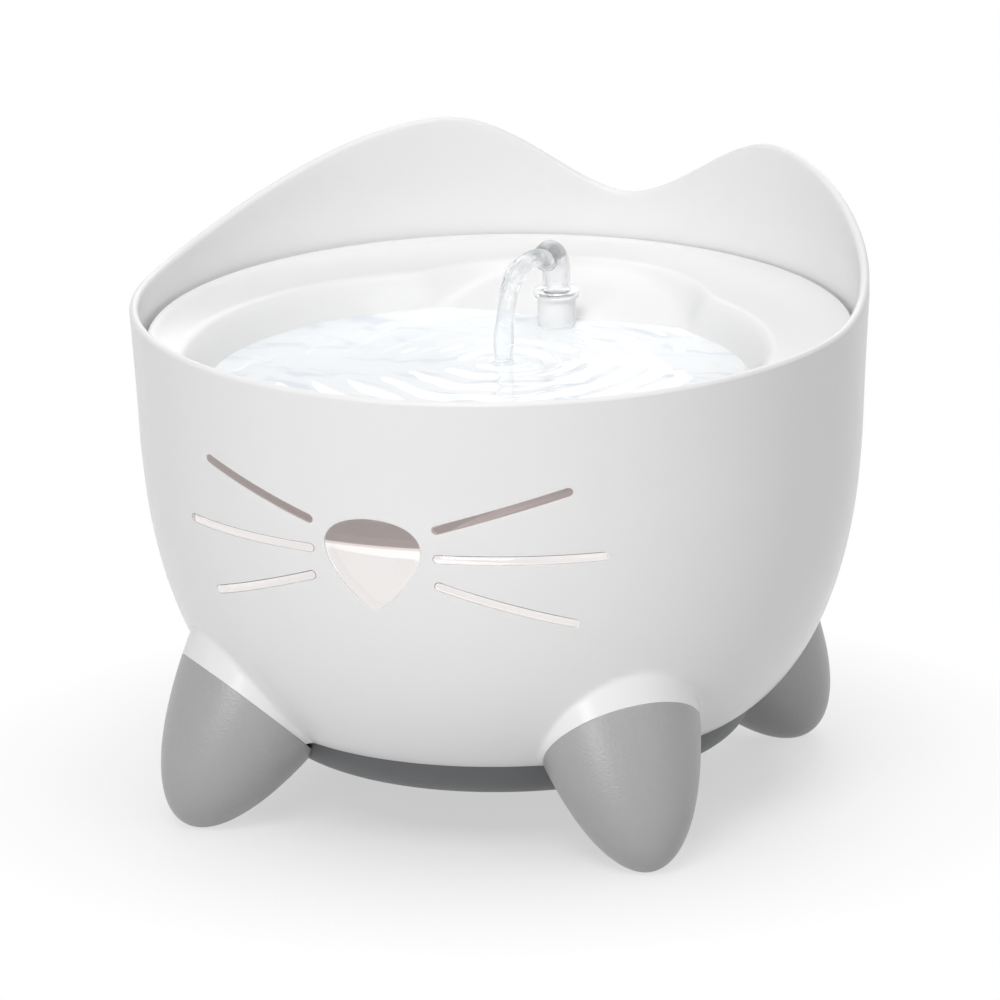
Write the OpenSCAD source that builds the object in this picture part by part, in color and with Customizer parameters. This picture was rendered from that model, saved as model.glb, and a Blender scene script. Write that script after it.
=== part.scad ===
// Pet water fountain: a round tank with cat ears on four feet, a drinking dish
// inside its rim, and a submersible pump that lifts the water to a clear spout.
// Millimetres, +Z up. The origin is on the ground on the tank's own axis, the
// cat face looks towards -Y and the ears stand at +Y.

/* [Tank] */
// Outside radius of the rim
rim_r = 120; // [112:1:130]
// Height of the level front rim above the ground
rim_z = 163; // [158:1:175]
// Height at which the straight wall starts to curve in
shoulder_z = 120; // [112:1:128]
// How much narrower the wall is at the shoulder than at the rim
shoulder_inset = 3; // [1:0.5:5]
// Height where the curve of the belly would close under the tank
belly_z = 18.8; // [16:0.2:20]
// Height of the tank's flat underside
shell_bottom_z = 29.4; // [28:0.2:32]
// Wall thickness of the tank
shell_wall = 3; // [2.4:0.1:3.6]
// Thickness of the tank's floor
floor_t = 3.6; // [3:0.1:5]
// Height of the ear tips above the level rim
ear_rise = 28.5; // [20:0.5:35]
// Height of the dip between the ears above the level rim
ear_dip = 3.8; // [1:0.2:8]
// Angle from the back to each ear tip, in degrees
ear_angle = 30; // [26:1:34]
// Angle from the back to where an ear meets the level rim
ear_foot_angle = 95; // [88:1:100]
// Width of the ledge that carries the dish
ledge_w = 2.8; // [2.4:0.1:3.4]
// Height of the ledge's top
ledge_z = 139; // [136:0.5:141]

/* [Face windows] */
// Width of each whisker slot
whisker_w = 2.6; // [2:0.1:3.4]
// Distance from the middle plane to each whisker's inner end
whisker_in_x = 21.8; // [20:0.2:24]
// Half of the nose window's width
nose_half_w = 16.4; // [13:0.2:17]
// Height of the nose window's top edge
nose_top_z = 122; // [118:0.5:124]
// Height of the nose window's lower tip
nose_tip_z = 91; // [88:0.5:96]
// Thickness of the clear plate behind the wall
window_plate_t = 1.8; // [1.2:0.1:2.4]
// Gap between the window's bosses and their cutouts
window_gap = 0.15; // [0.1:0.05:0.25]

/* [Base and feet] */
// Radius of the base cover's flat bottom
base_r = 61; // [56:1:64]
// Height of the base cover's bottom above the ground
base_z = 15.8; // [13:0.2:17]
// Wall thickness of the base cover
base_wall = 2.5; // [2:0.1:3]
// How far each foot's contact point lies inside the rim
foot_inset = 12; // [8:1:16]
// How much nearer to the axis the rear feet stand
rear_foot_shift = 6.5; // [0:0.5:8]
// Lean of each foot's axis, in degrees from upright
foot_lean = 33; // [30:1:36]
// How fast a foot grows from its tip: its radius squared for each mm
foot_grow = 21; // [18:0.5:23]
// Length of the whole ellipsoid that a foot is cut from
foot_length = 180; // [165:5:200]
// Slope of the seam between foot and tank, in degrees
seam_slope = 41.7; // [40:0.1:43]
// Wall thickness of a foot
foot_wall = 3; // [2.4:0.1:4]
// Distance from the axis to the base screws
base_screw_r = 58; // [52:1:58]
// Radius of the base screws' thread
base_screw_thread_r = 1.5; // [1.2:0.1:1.8]

/* [Dish] */
// Gap between the dish and the tank wall
dish_gap = 0.5; // [0.4:0.1:0.8]
// Height of the dish's rim
dish_z = 152; // [150:0.5:154]
// Thickness of the dish
dish_wall = 2.5; // [2:0.1:3]
// Distance that the basin is moved forwards from the axis
basin_forward = 21; // [19:0.5:22]
// Width of the dish's rim in front of the basin
basin_rim_w = 2.8; // [2.4:0.1:6]
// Depth of the basin below the dish's rim
basin_depth = 25; // [22:0.5:26]
// Width of the basin's sloping side
basin_side_w = 29; // [24:1:40]
// Distance from the axis back to the foot of the basin's rear ramp
ramp_foot_y = 20; // [14:1:26]
// Slope of the rear ramp, in degrees
ramp_slope = 19.5; // [18:0.5:24]
// Radius of the rear ramp's outline
ramp_r = 52.6; // [46:0.2:56]

/* [Spout] */
// Distance from the axis back to the spout
spout_y = 51.7; // [50:0.1:54]
// Outside radius of the tower under the spout
tower_r = 6.2; // [6:0.1:7]
// Height of the tower's top
tower_z = 149.4; // [148:0.2:150]
// Outside radius of the spout tube
spout_tube_r = 4.5; // [4:0.1:4.8]
// Wall thickness of the spout tube
spout_wall = 1.3; // [1:0.1:1.6]
// Radius of the spout's flange
flange_r = 7.5; // [7:0.1:8.5]
// Thickness of the spout's flange
flange_t = 1.5; // [1.2:0.1:2]
// Radius of the spout's bend on its centre line
bend_r = 6.6; // [6:0.1:7.5]
// Straight height between the flange and the bend
spout_rise = 7; // [5:0.2:8]
// Depth that the spout's shank goes into the tower
shank_depth = 11; // [9:0.5:13]
// Angle that the spout turns over, in degrees
bend_turn = 100; // [85:1:115]
// Length of the spout's mouth after the bend
mouth_len = 3; // [2:0.2:5]

/* [Filter] */
// Radius of the filter tray
filter_r = 40.6; // [36:0.2:41]
// Distance from the axis forwards to the filter
filter_forward = 40; // [38:1:42]
// Height of the filter tray
filter_tray_h = 22; // [20:0.5:24]
// Thickness of the granule bed
granules_t = 7; // [5:0.5:9]
// Thickness of the fleece pad
fleece_t = 6; // [4:0.5:7]

/* [Pump] */
// Depth of the pump housing from front to back
pump_d = 42; // [40:0.5:44]
// Height of the pump housing
pump_h = 42; // [42:0.5:46]
// Length of the motor end, from the outlet's axis
motor_l = 34; // [34:0.5:36]
// Length of the chamber end, from the outlet's axis
chamber_l = 9; // [9:0.5:11]
// Wall thickness of the pump housing
pump_wall = 3; // [2.6:0.1:3.2]
// Radius of the impeller chamber
chamber_r = 16; // [15:0.5:17]
// Depth of the impeller chamber
chamber_d = 12; // [11:0.5:13]
// Number of impeller blades
blades = 6; // [4:1:8]
// Radius of the impeller's blade tips
impeller_r = 12.5; // [10:0.5:13.5]
// Radius of the shaft
shaft_r = 1.5; // [1:0.1:2]
// Radius of the rotor magnet
magnet_r = 7.5; // [6:0.1:7.8]
// Height of the suction cups
cup_h = 6; // [5:0.5:8]
// Outside radius of the pump's outlet
outlet_r = 5; // [4.6:0.1:5.4]
// Wall thickness of the riser tube
riser_wall = 2; // [1.5:0.1:2.5]
// Thickness of the intake foam
foam_t = 10; // [8:0.5:12]

/* [Fits] */
// Radial running clearance of turning and sliding pieces
run_gap = 0.05; // [0.02:0.01:0.1]
// Gap between pieces that lie side by side
side_gap = 0.3; // [0.2:0.05:0.4]
// Inside radius of the cord's rubber gland
gland_bore_r = 2; // [1.5:0.1:2.4]

/* [Hidden] */
$fn = 96;
e = 0.01;
curve_steps = 14;
ear_steps = 6;

// Tank wall: a straight draft above the shoulder, a superellipse below it
shoulder_r = rim_r - shoulder_inset;
belly_power = 1.756;
belly_root = 4.745;
top_z = rim_z + ear_rise;
floor_z = shell_bottom_z + floor_t;
function belly_r(z) =
    shoulder_r * pow(1 - pow((shoulder_z - z) / (shoulder_z - belly_z), belly_power), 1 / belly_root);
function wall_r(z) =
    z >= rim_z ? rim_r
    : z >= shoulder_z ? shoulder_r + shoulder_inset * (z - shoulder_z) / (rim_z - shoulder_z)
    : belly_r(z);
function belly_z_at(i) =
    shell_bottom_z + (shoulder_z - shell_bottom_z) * pow(i / curve_steps, 1.6);
function wall_points(inset, from_z, to_z) = [
    for (z = concat([from_z], [for (i = [1:curve_steps]) belly_z_at(i)], [rim_z, to_z]))
        if (z == from_z || z == to_z || (z > from_z + 1 && z < to_z - 1)) [wall_r(z) - inset, z]
];

// Height of the tank's top edge at an angle from the back
function ease(u) = (1 - cos(180 * u)) / 2;
function ear_height(a) =
    a < ear_angle
    ? rim_z + ear_dip + (ear_rise - ear_dip) * ease(pow(a / ear_angle, 0.9))
    : a < ear_foot_angle
    ? rim_z + ear_rise * (1 - ease(pow((a - ear_angle) / (ear_foot_angle - ear_angle), 0.85)))
    : rim_z;

// Ledge inside the tank
ledge_r = wall_r(ledge_z) - shell_wall - ledge_w;
ledge_t = 1.8;

// Face: each whisker is [inner height, outer x, outer height]
whiskers = [[119.7, 61.4, 131.9], [109.8, 70.2, 109.1], [100.4, 61, 86.6]];
nose_taper = 0.5;
nose_widest = 1.1;
nose_step = 8;
plate_half_w = whiskers[1][1] + 7;
plate_top_z = whiskers[0][2] + whisker_w / 2 + 0.9;
plate_bottom_z = whiskers[2][2] - 6;

// Feet: lengths run along the leaning axis of an ellipsoid, from its tip
foot_angles = [-45, 45, 135, -135];
foot_r = rim_r - foot_inset;
contact_cut = 0.6;
function foot_radius(s) = sqrt(max(0, foot_grow * s * (1 - s / foot_length)));
foot_bluntness = 4 * (foot_grow / foot_length + pow(1 / tan(foot_lean), 2));
lowest_s = foot_length / 2 * (1 - sqrt(1 - 4 * foot_grow / (foot_length * foot_bluntness)));
lowest_r = foot_radius(lowest_s);
tip_x = foot_r + lowest_s * sin(foot_lean) + lowest_r * cos(foot_lean);
tip_z = lowest_r * sin(foot_lean) - lowest_s * cos(foot_lean) - contact_cut;
function foot_tip_x(angle) = abs(angle) > 90 ? tip_x - rear_foot_shift : tip_x;
foot_steps = 12;
foot_tip_extra = 0.8;
foot_reach = foot_length / 2;
seam_r = wall_r(shell_bottom_z);
seam_gap = 0.1;

// Base cover: the side is a quarter of an ellipse, from its flat bottom to the seam
tray_steps = 8;
tray_h = shell_bottom_z - base_z;
tray_edge_r = seam_r - 0.6;
function tray_point(a, inset) = [
    base_r + (tray_edge_r - base_r - inset) * sin(a),
    base_z + inset + (tray_h - inset) * (1 - cos(a))
];
base_floor_z = base_z + base_wall;
tab_t = 2.5;
tab_w = 14;
tab_gap = 0.2;
boss_r = 4.5;
boss_z = base_floor_z + tab_t;
screw_clear_r = base_screw_thread_r + 0.3;
screw_head_r = 3;
screw_head_h = 1.6;
screw_l = 9;
screw_bore_depth = 8.5;
screw_hex_r = 1.3;
screw_hex_d = 1;
screw_gap = 0.05;

// Gland in the back wall, above the water line
gland_z = 122;
gland_r = 5;
gland_lip_r = 7;
gland_lip_t = 1.6;
gland_lip_bevel = 0.8;
gland_seat = 0.6;
gland_y = wall_r(gland_z) - shell_wall - gland_seat;
gland_neck = shell_wall + 2 * gland_seat;

// Dish
dish_r = wall_r(ledge_z) - shell_wall - dish_gap;
skirt_t = 2.8;
rim_round = 1.2;
basin_r = dish_r - basin_forward - basin_rim_w;
basin_floor_r = basin_r - basin_side_w;
deck_z = dish_z - 0.6;
deck_drop = 1.4;
basin_z = dish_z - basin_depth;
basin_top_z = dish_z - 0.4;
basin_steps = 9;
function basin_point(a, out) = [
    basin_floor_r + (basin_r - basin_floor_r) * sin(a) + out * sin(a),
    basin_z + (basin_top_z - basin_z) * (1 - cos(a)) - out * cos(a)
];
ramp_top_y = ramp_foot_y + (deck_z - basin_z) / tan(ramp_slope);
drain_r = 2;
drain_pitch = 8;
drain_forward = 20;
drain_y = -(filter_forward + drain_forward);

// Spout and tower
tower_bore_r = spout_tube_r + run_gap;
channel_r = spout_tube_r - spout_wall;
seal_t = 0.8;
seal_r = flange_r - 0.3;
flange_z = tower_z + seal_t;
spigot_r = outlet_r - run_gap;
bend_z = flange_z + flange_t + spout_rise;

// Pump: x runs along its shaft, from the outlet's axis
pump_z = floor_z + cup_h;
axis_z = pump_z + pump_h / 2 + 1;
chamber_x = chamber_l - chamber_d;
well_r = magnet_r + 0.7;
well_wall = 1.5;
well_end_x = -motor_l + pump_wall + 1;
cavity_w = pump_d - 2 * pump_wall - 1;
cavity_h = pump_h - 2 * pump_wall;
cavity_x = -8;
corner_r = 5;
housing_drop = 1;
pump_top_z = pump_z + pump_h;
outlet_h = 14;
outlet_bore_r = outlet_r - 1.2;
riser_lift = 2;
riser_z = pump_top_z + riser_lift;
riser_drop = 7;
riser_top_z = basin_z - dish_wall - riser_drop;
spigot_l = 20;
spigot_z = riser_top_z - spigot_l;
cover_t = 3;
intake_r = 9;
bush_r = 3;
bush_seat = 1.5;
bush_l = 2.7;
bush_sink = 0.4;
bush_boss_t = 1.6;
shaft_short = 1;
fit_gap = 0.02;
magnet_x = well_end_x + 1.5;
magnet_l = 23;
strainer_d = pump_d - 8;
strainer_h = pump_h - 10;
strainer_x = chamber_l + cover_t;
strainer_wall = 1.8;
strainer_corner_r = 4;
slot_w = 2.4;
slot_pitch = 6;
strainer_l = foam_t + strainer_wall + side_gap;
dial_r = 11;
dial_t = 1.6;
dial_x = strainer_x + strainer_l;
dial_pin_r = 2;
port_r = 3;
port_ring_r = 7;
led_x = -20;
led_r = 4.4;
led_gap = 0.1;
led_pocket = 2.5;
led_board_t = 1;
led_chip_r = 1.2;
led_chip_h = 0.5;
lens_h = 2;
lens_rim_h = 0.95;
cup_r = 7;
cup_y = 14;
cup_places = [
    [cup_r - motor_l, -cup_y], [cup_r - motor_l, cup_y],
    [chamber_l - cup_r, -cup_y], [chamber_l - cup_r, cup_y]
];
cup_lip = 0.8;
cup_stem_r = 2.6;
cup_nub_r = 1.6;
cup_nub_h = 2.2;

// Filter
collar_t = 1.8;
collar_h = 12;
collar_top_z = basin_z - dish_wall;
tray_z = collar_top_z - filter_tray_h;
tray_wall = 1.6;
tray_hole_r = 2.2;
granules_z = tray_z + tray_wall;
fleece_z = granules_z + granules_t;
frame_z = fleece_z + fleece_t;
frame_t = 2.4;
frame_gap = 0.3;
frame_spoke_w = 2.2;
frame_bite = 1;
hub_share = 0.12;

// ---------------------------------------------------------------- shared shapes

// A bar with round ends between two points of the plane
module bar_2d(p, q, w) {
    turn = atan2(q[1] - p[1], q[0] - p[0]);
    polygon(concat(
        [for (a = [90:22.5:270]) p + w / 2 * [cos(a + turn), sin(a + turn)]],
        [for (a = [-90:22.5:90]) q + w / 2 * [cos(a + turn), sin(a + turn)]]
    ));
}

// A rectangle with round corners, centred
module round_rect(w, h, r) {
    square([w - 2 * r, h], center = true);
    square([w, h - 2 * r], center = true);
    for (x = [-1, 1], y = [-1, 1])
        translate([x * (w / 2 - r), y * (h / 2 - r)]) circle(r);
}

// A straight prism along +X whose outline lies in the plane (y, z)
module along_x(x0, x1) {
    translate([x0, 0, 0]) rotate([90, 0, 90]) linear_extrude(x1 - x0) children();
}

// The pump's own place: x from the outlet's axis, centred on the shaft
module on_shaft() {
    translate([0, spout_y, axis_z]) children();
}

// The solid inside a surface that lies a distance inside the tank's outer wall
module wall_core(inset, from_z, to_z) {
    rotate_extrude()
        polygon(concat([[0, from_z]], wall_points(inset, from_z, to_z), [[0, to_z]]));
}

// ---------------------------------------------------------------- tank

// Space below the wavy top edge: level in front, ears behind
module ear_limit() {
    side = rim_r + 10;
    edge_r = rim_r - shell_wall / 2;
    crest = [for (a = [90:-ear_steps:-90]) [edge_r * sin(a), ear_height(abs(a))]];
    translate([0, side, 0]) rotate([90, 0, 0]) linear_extrude(side)
        polygon(concat([[-side, 0], [side, 0], [side, rim_z]], crest, [[-side, rim_z]]));
    translate([-side, -side, 0]) cube([2 * side, side + e, rim_z]);
}

// A leaning ellipsoid foot, from its tip upwards
module foot_form(inset, angle) {
    start = inset == 0 ? 0 : inset + foot_tip_extra;
    points = [for (i = [0:foot_steps])
        let (s = start + (foot_reach - start) * pow(i / foot_steps, 2))
        [i == 0 ? 0 : max(0.1, foot_radius(s) - inset), s]];
    translate([foot_tip_x(angle), 0, tip_z]) rotate([0, -foot_lean, 0])
        rotate_extrude() polygon(concat(points, [[0, foot_reach]]));
}

// Everything above the seam between feet and tank
module above_seam(shift) {
    translate([seam_r, 0, shell_bottom_z + shift]) rotate([0, -seam_slope, 0])
        translate([-foot_length, -foot_length / 2, 0]) cube([2 * foot_length, foot_length, foot_length]);
}

module ankle(angle) {
    intersection() {
        foot_form(0, angle);
        above_seam(0);
        translate([0, -foot_length / 2, shell_bottom_z]) cube(foot_length);
    }
}

module face_cutouts(gap, depth) {
    w = whisker_w - 2 * gap;
    rotate([90, 0, 0]) linear_extrude(depth) {
        for (side = [-1, 1], m = whiskers)
            bar_2d([side * whisker_in_x, m[0]], [side * m[1], m[2]], w);
        nose_outline(gap);
    }
}

// Nose: a rounded triangle with its tip down
module nose_outline(gap) {
    half_h = (nose_top_z - nose_tip_z) / 2;
    half_w = nose_half_w / nose_widest;
    middle_z = nose_tip_z + half_h;
    polygon([for (t = [0:nose_step:359])
        [(half_w - gap) * sin(t) * (1 + nose_taper * cos(t)), middle_z + (half_h - gap) * cos(t)]]);
}

module bowl_shell() {
    color("white")
    difference() {
        union() {
            intersection() {
                difference() {
                    wall_core(0, shell_bottom_z, top_z);
                    wall_core(shell_wall, floor_z, top_z + 1);
                }
                ear_limit();
            }
            ledge();
            for (a = foot_angles)
                rotate(a - 90) difference() {
                    ankle(a);
                    wall_core(shell_wall / 2, shell_bottom_z - 1, top_z);
                }
            for (a = foot_angles)
                rotate(a - 90) translate([base_screw_r, 0, boss_z])
                    cylinder(r = boss_r, h = shell_bottom_z - boss_z + e);
        }
        face_cutouts(0, rim_r + 10);
        translate([0, gland_y - 10, gland_z]) rotate([-90, 0, 0])
            cylinder(r = gland_r, h = 20);
        for (a = foot_angles)
            rotate(a - 90) translate([base_screw_r, 0, boss_z - e])
                cylinder(r = base_screw_thread_r, h = screw_bore_depth);
    }
}

// Ring that the dish stands on, with a sloped underside
module ledge() {
    wall_in = wall_r(ledge_z) - shell_wall / 2;
    rotate_extrude() polygon([
        [ledge_r, ledge_z], [wall_in, ledge_z],
        [wall_in, ledge_z - ledge_t - (wall_in - ledge_r)], [ledge_r, ledge_z - ledge_t]
    ]);
}

// One clear plate behind the wall, with bosses that fill the seven cutouts
module face_window() {
    inner = shell_wall + window_gap;
    color([0.8, 0.78, 0.77, 0.5])
    union() {
        intersection() {
            difference() {
                wall_core(inner, floor_z, rim_z);
                wall_core(inner + window_plate_t, floor_z - 1, rim_z + 1);
            }
            translate([0, 0, plate_bottom_z]) linear_extrude(plate_top_z - plate_bottom_z)
                translate([-plate_half_w, -rim_r]) square([2 * plate_half_w, rim_r]);
        }
        intersection() {
            difference() {
                wall_core(window_gap, floor_z, rim_z);
                wall_core(inner + window_plate_t / 2, floor_z - 1, rim_z + 1);
            }
            face_cutouts(window_gap, rim_r + 10);
        }
    }
}

// Rubber gland for the pump's cord: two lips and a neck in the wall
module cord_grommet() {
    neck_r = gland_r - run_gap;
    color("dimgray")
    translate([0, gland_y, gland_z]) rotate([-90, 0, 0]) rotate_extrude() polygon([
        [gland_bore_r, -gland_lip_t], [gland_lip_r, -gland_lip_t], [gland_lip_r, 0],
        [neck_r, 0], [neck_r, gland_neck], [gland_lip_r, gland_neck],
        [gland_lip_r - gland_lip_bevel, gland_neck + gland_lip_t], [gland_bore_r, gland_neck + gland_lip_t]
    ]);
}

// ---------------------------------------------------------------- base and feet

module base_cover() {
    outer = [for (i = [0:tray_steps]) tray_point(90 * i / tray_steps, 0)];
    inner = [for (i = [tray_steps:-1:0]) tray_point(90 * i / tray_steps, base_wall)];
    color([0.42, 0.43, 0.44])
    difference() {
        rotate_extrude() polygon(concat([[0, base_z]], outer, inner, [[0, base_floor_z]]));
        for (a = foot_angles)
            rotate(a - 90) {
                translate([base_screw_r, 0, base_z - 1])
                    cylinder(r = screw_clear_r, h = base_wall + 2);
                translate([base_screw_r, 0, base_z - e])
                    cylinder(r = screw_head_r + tab_gap, h = screw_head_h);
                translate([base_screw_r, -tab_w / 2 - tab_gap, base_floor_z])
                    cube([tray_edge_r, tab_w + 2 * tab_gap, tab_t + tab_gap]);
            }
    }
}

// One foot: a hollow boot with a tab that the base cover clamps to the tank
module foot(angle) {
    color([0.6, 0.6, 0.6])
    rotate(angle - 90)
    difference() {
        union() {
            difference() {
                foot_form(0, angle);
                above_seam(-seam_gap);
                belly_and_base(seam_gap);
                difference() {
                    foot_form(foot_wall, angle);
                    belly_and_base(foot_wall);
                }
            }
            translate([base_screw_r - boss_r, -tab_w / 2, base_floor_z])
                cube([seam_r - base_screw_r + boss_r, tab_w, tab_t]);
        }
        translate([0, 0, -foot_length]) cylinder(r = 2 * rim_r, h = foot_length);
        translate([base_screw_r, 0, base_floor_z - 1]) cylinder(r = screw_clear_r, h = tab_t + 2);
    }
}

// The outer form of the tank's belly and base cover, grown by a gap
module belly_and_base(gap) {
    wall_core(-gap, shell_bottom_z, top_z);
    rotate_extrude() polygon(concat(
        [[0, base_z - gap]],
        [for (i = [0:tray_steps]) tray_point(90 * i / tray_steps, -gap)],
        [[tray_edge_r + gap, shell_bottom_z + 1], [0, shell_bottom_z + 1]]
    ));
}

module foot_front_left() { foot(foot_angles[0]); }
module foot_front_right() { foot(foot_angles[1]); }
module foot_rear_right() { foot(foot_angles[2]); }
module foot_rear_left() { foot(foot_angles[3]); }

module base_screws() {
    color("silver")
    for (a = foot_angles)
        rotate(a - 90) translate([base_screw_r, 0, base_z]) {
            difference() {
                cylinder(r = screw_head_r, h = screw_head_h - screw_gap);
                translate([0, 0, -e]) cylinder(r = screw_hex_r, h = screw_hex_d, $fn = 6);
            }
            translate([0, 0, screw_head_h - 2 * screw_gap])
                cylinder(r = base_screw_thread_r - screw_gap, h = screw_l);
        }
}

// ---------------------------------------------------------------- dish and spout

// The basin's round hollow, or its outside when grown by the dish's thickness
module basin_form(out) {
    points = [for (i = [0:basin_steps]) basin_point(90 * i / basin_steps, out)];
    translate([0, -basin_forward, 0]) rotate_extrude()
        polygon(concat([[0, basin_z - out]], points, [[0, basin_top_z]]));
}

// Everything above the rear ramp, or above its underside when dropped
module above_ramp(drop) {
    translate([0, ramp_foot_y, basin_z - drop]) rotate([ramp_slope, 0, 0])
        translate([-rim_r, -2 * rim_r, 0]) cube([2 * rim_r, 4 * rim_r, rim_r]);
}

// The basin with its rear ramp
module basin_and_ramp(out) {
    intersection() {
        union() {
            basin_form(out);
            translate([0, ramp_top_y - ramp_r, basin_z - out])
                cylinder(r = ramp_r + out, h = basin_top_z - basin_z + out);
        }
        above_ramp(out / cos(ramp_slope));
    }
}

module basin_cut() {
    basin_and_ramp(0);
    translate([0, -basin_forward, basin_top_z - e]) cylinder(r = basin_r, h = rim_round);
}

module dish() {
    color([0.97, 0.97, 0.97])
    difference() {
        union() {
            difference() {
                union() {
                    deck();
                    intersection() {
                        basin_and_ramp(dish_wall);
                        cylinder(r = rim_r, h = deck_z - deck_drop);
                    }
                }
                basin_cut();
            }
            translate([0, spout_y, basin_z]) cylinder(r = tower_r, h = tower_z - basin_z);
            translate([0, spout_y, spigot_z]) cylinder(r = spigot_r, h = basin_z - spigot_z + 1);
            translate([0, -filter_forward, collar_top_z - collar_h]) difference() {
                cylinder(r = filter_r + side_gap + collar_t, h = collar_h + 1);
                translate([0, 0, -1]) cylinder(r = filter_r + side_gap, h = collar_h + 1);
            }
        }
        translate([0, spout_y, spigot_z - 1]) cylinder(r = channel_r, h = tower_z - spigot_z);
        translate([0, spout_y, tower_z - shank_depth - 1]) cylinder(r = tower_bore_r, h = shank_depth + 2);
        for (i = [-2:2], j = [-1:1])
            translate([i * drain_pitch, drain_y + j * drain_pitch, collar_top_z - 2])
                cylinder(r = drain_r, h = dish_wall + 4);
    }
}

// The dish's deck and skirt, with a rounded rim
module deck() {
    inner_r = dish_r - skirt_t;
    rotate_extrude() polygon(concat(
        [[0, deck_z - deck_drop - dish_wall], [inner_r, deck_z - dish_wall],
            [inner_r, ledge_z], [dish_r, ledge_z]],
        [for (a = [0:30:90])
            [dish_r - rim_round * (1 - cos(a)), dish_z - rim_round * (1 - sin(a))]],
        [[inner_r, deck_z], [0, deck_z - deck_drop]]
    ));
}

// Soft washer under the spout's flange
module spout_seal() {
    color([0.75, 0.77, 0.78])
    translate([0, spout_y, tower_z]) difference() {
        cylinder(r = seal_r, h = seal_t);
        translate([0, 0, -1]) cylinder(r = tower_bore_r, h = seal_t + 2);
    }
}

// A straight stretch of the spout's tube
module tube_z(h) {
    difference() {
        cylinder(r = spout_tube_r, h = h, $fn = 64);
        translate([0, 0, -1]) cylinder(r = channel_r, h = h + 2, $fn = 64);
    }
}

// The spout's bend, from upright to its mouth
module spout_bend() {
    rotate([90, 0, 90]) rotate_extrude(angle = bend_turn, start = 0, $fn = 64)
        translate([bend_r, 0]) difference() {
            circle(spout_tube_r, $fn = 64);
            circle(channel_r, $fn = 64);
        }
}

// Clear elbow: a shank that turns in the tower, a flange, a bend and a short mouth
module spout() {
    shank_l = bend_z - tower_z + shank_depth;
    color([0.85, 0.88, 0.9, 0.5])
    translate([0, spout_y - bend_r, bend_z]) {
        translate([0, bend_r, -shank_l]) tube_z(shank_l);
        spout_bend();
        rotate([bend_turn, 0, 0]) translate([0, bend_r, 0]) tube_z(mouth_len);
        translate([0, bend_r, flange_z - bend_z]) difference() {
            cylinder(r = flange_r, h = flange_t, $fn = 64);
            translate([0, 0, -1]) cylinder(r = (spout_tube_r + channel_r) / 2, h = flange_t + 2, $fn = 64);
        }
    }
}

// ---------------------------------------------------------------- filter

module at_filter(z) {
    translate([0, -filter_forward, z]) children();
}

module filter_tray() {
    color("gainsboro")
    at_filter(tray_z) difference() {
        cylinder(r = filter_r, h = filter_tray_h);
        translate([0, 0, tray_wall]) cylinder(r = filter_r - tray_wall, h = filter_tray_h);
        translate([0, 0, -1]) cylinder(r = tray_hole_r, h = tray_wall + 2);
        for (ring = [1:3], i = [0:6 * ring - 1])
            rotate(i * 60 / ring) translate([ring * 5 * tray_hole_r, 0, -1])
                cylinder(r = tray_hole_r, h = tray_wall + 2);
    }
}

module filter_granules() {
    color([0.25, 0.25, 0.26])
    at_filter(granules_z) cylinder(r = filter_r - tray_wall - frame_gap, h = granules_t);
}

module filter_fleece() {
    color([0.93, 0.93, 0.9])
    at_filter(fleece_z) cylinder(r = filter_r - tray_wall - frame_gap, h = fleece_t);
}

// Spoked ring that holds the fleece down
module filter_frame() {
    outer = filter_r - tray_wall - frame_gap;
    color("whitesmoke")
    at_filter(frame_z) linear_extrude(frame_t) {
        for (r = [outer, outer * 0.6]) difference() {
            circle(r);
            circle(r - frame_t);
        }
        for (a = [15:60:315])
            rotate(a) translate([hub_share * outer - frame_bite, -frame_spoke_w / 2])
                square([outer * (1 - hub_share) - frame_t + 2 * frame_bite, frame_spoke_w]);
        circle(hub_share * outer);
    }
}

// ---------------------------------------------------------------- pump

// The housing's outline in the plane across its shaft
module housing_outline(inset) {
    translate([0, -housing_drop]) round_rect(pump_d - 2 * inset, pump_h - 2 * inset, corner_r);
}

// A round rod along the shaft's axis
module rod_x(r, x0, x1) {
    translate([x0, 0, 0]) rotate([0, 90, 0]) cylinder(r = r, h = x1 - x0);
}

// A tube along the shaft's axis
module tube_x(r, bore, x0, x1) {
    difference() {
        rod_x(r, x0, x1);
        rod_x(bore, x0 - 1, x1 + 1);
    }
}

module pump_body() {
    outlet_base = chamber_r - 2;
    color([0.2, 0.21, 0.23])
    on_shaft() difference() {
        union() {
            along_x(-motor_l, chamber_l) housing_outline(0);
            translate([0, 0, outlet_base])
                cylinder(r = outlet_r - fit_gap, h = pump_top_z + outlet_h - axis_z - outlet_base);
        }
        rod_x(chamber_r, chamber_x, chamber_l + 1);
        rod_x(well_r, well_end_x, chamber_x + 1);
        rod_x(bush_r + fit_gap, well_end_x - bush_seat, well_end_x + 1);
        difference() {
            along_x(-motor_l - 1, cavity_x)
                translate([0, -housing_drop]) square([cavity_w, cavity_h], center = true);
            rod_x(well_r + well_wall, well_end_x - bush_seat - well_wall, cavity_x + 1);
        }
        cylinder(r = outlet_bore_r, h = pump_h + outlet_h);
        translate([led_x, -pump_d / 2 - 1, 0]) rotate([-90, 0, 0])
            cylinder(r = led_r + led_gap, h = led_pocket + 1);
        for (p = cup_places)
            translate([p[0], p[1], pump_z - axis_z - 1])
                cylinder(r = cup_nub_r + fit_gap, h = cup_nub_h + 1.1);
    }
}

// Cap that closes the motor end
module pump_end_cap() {
    cap_t = 2.5;
    plug = motor_l + well_end_x - bush_seat - well_wall - side_gap;
    color([0.24, 0.25, 0.27])
    on_shaft() {
        along_x(-motor_l - cap_t, -motor_l) housing_outline(0);
        along_x(-motor_l - e, -motor_l + plug) translate([0, -housing_drop])
            square([cavity_w - 2 * side_gap, cavity_h - 2 * side_gap], center = true);
    }
}

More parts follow.
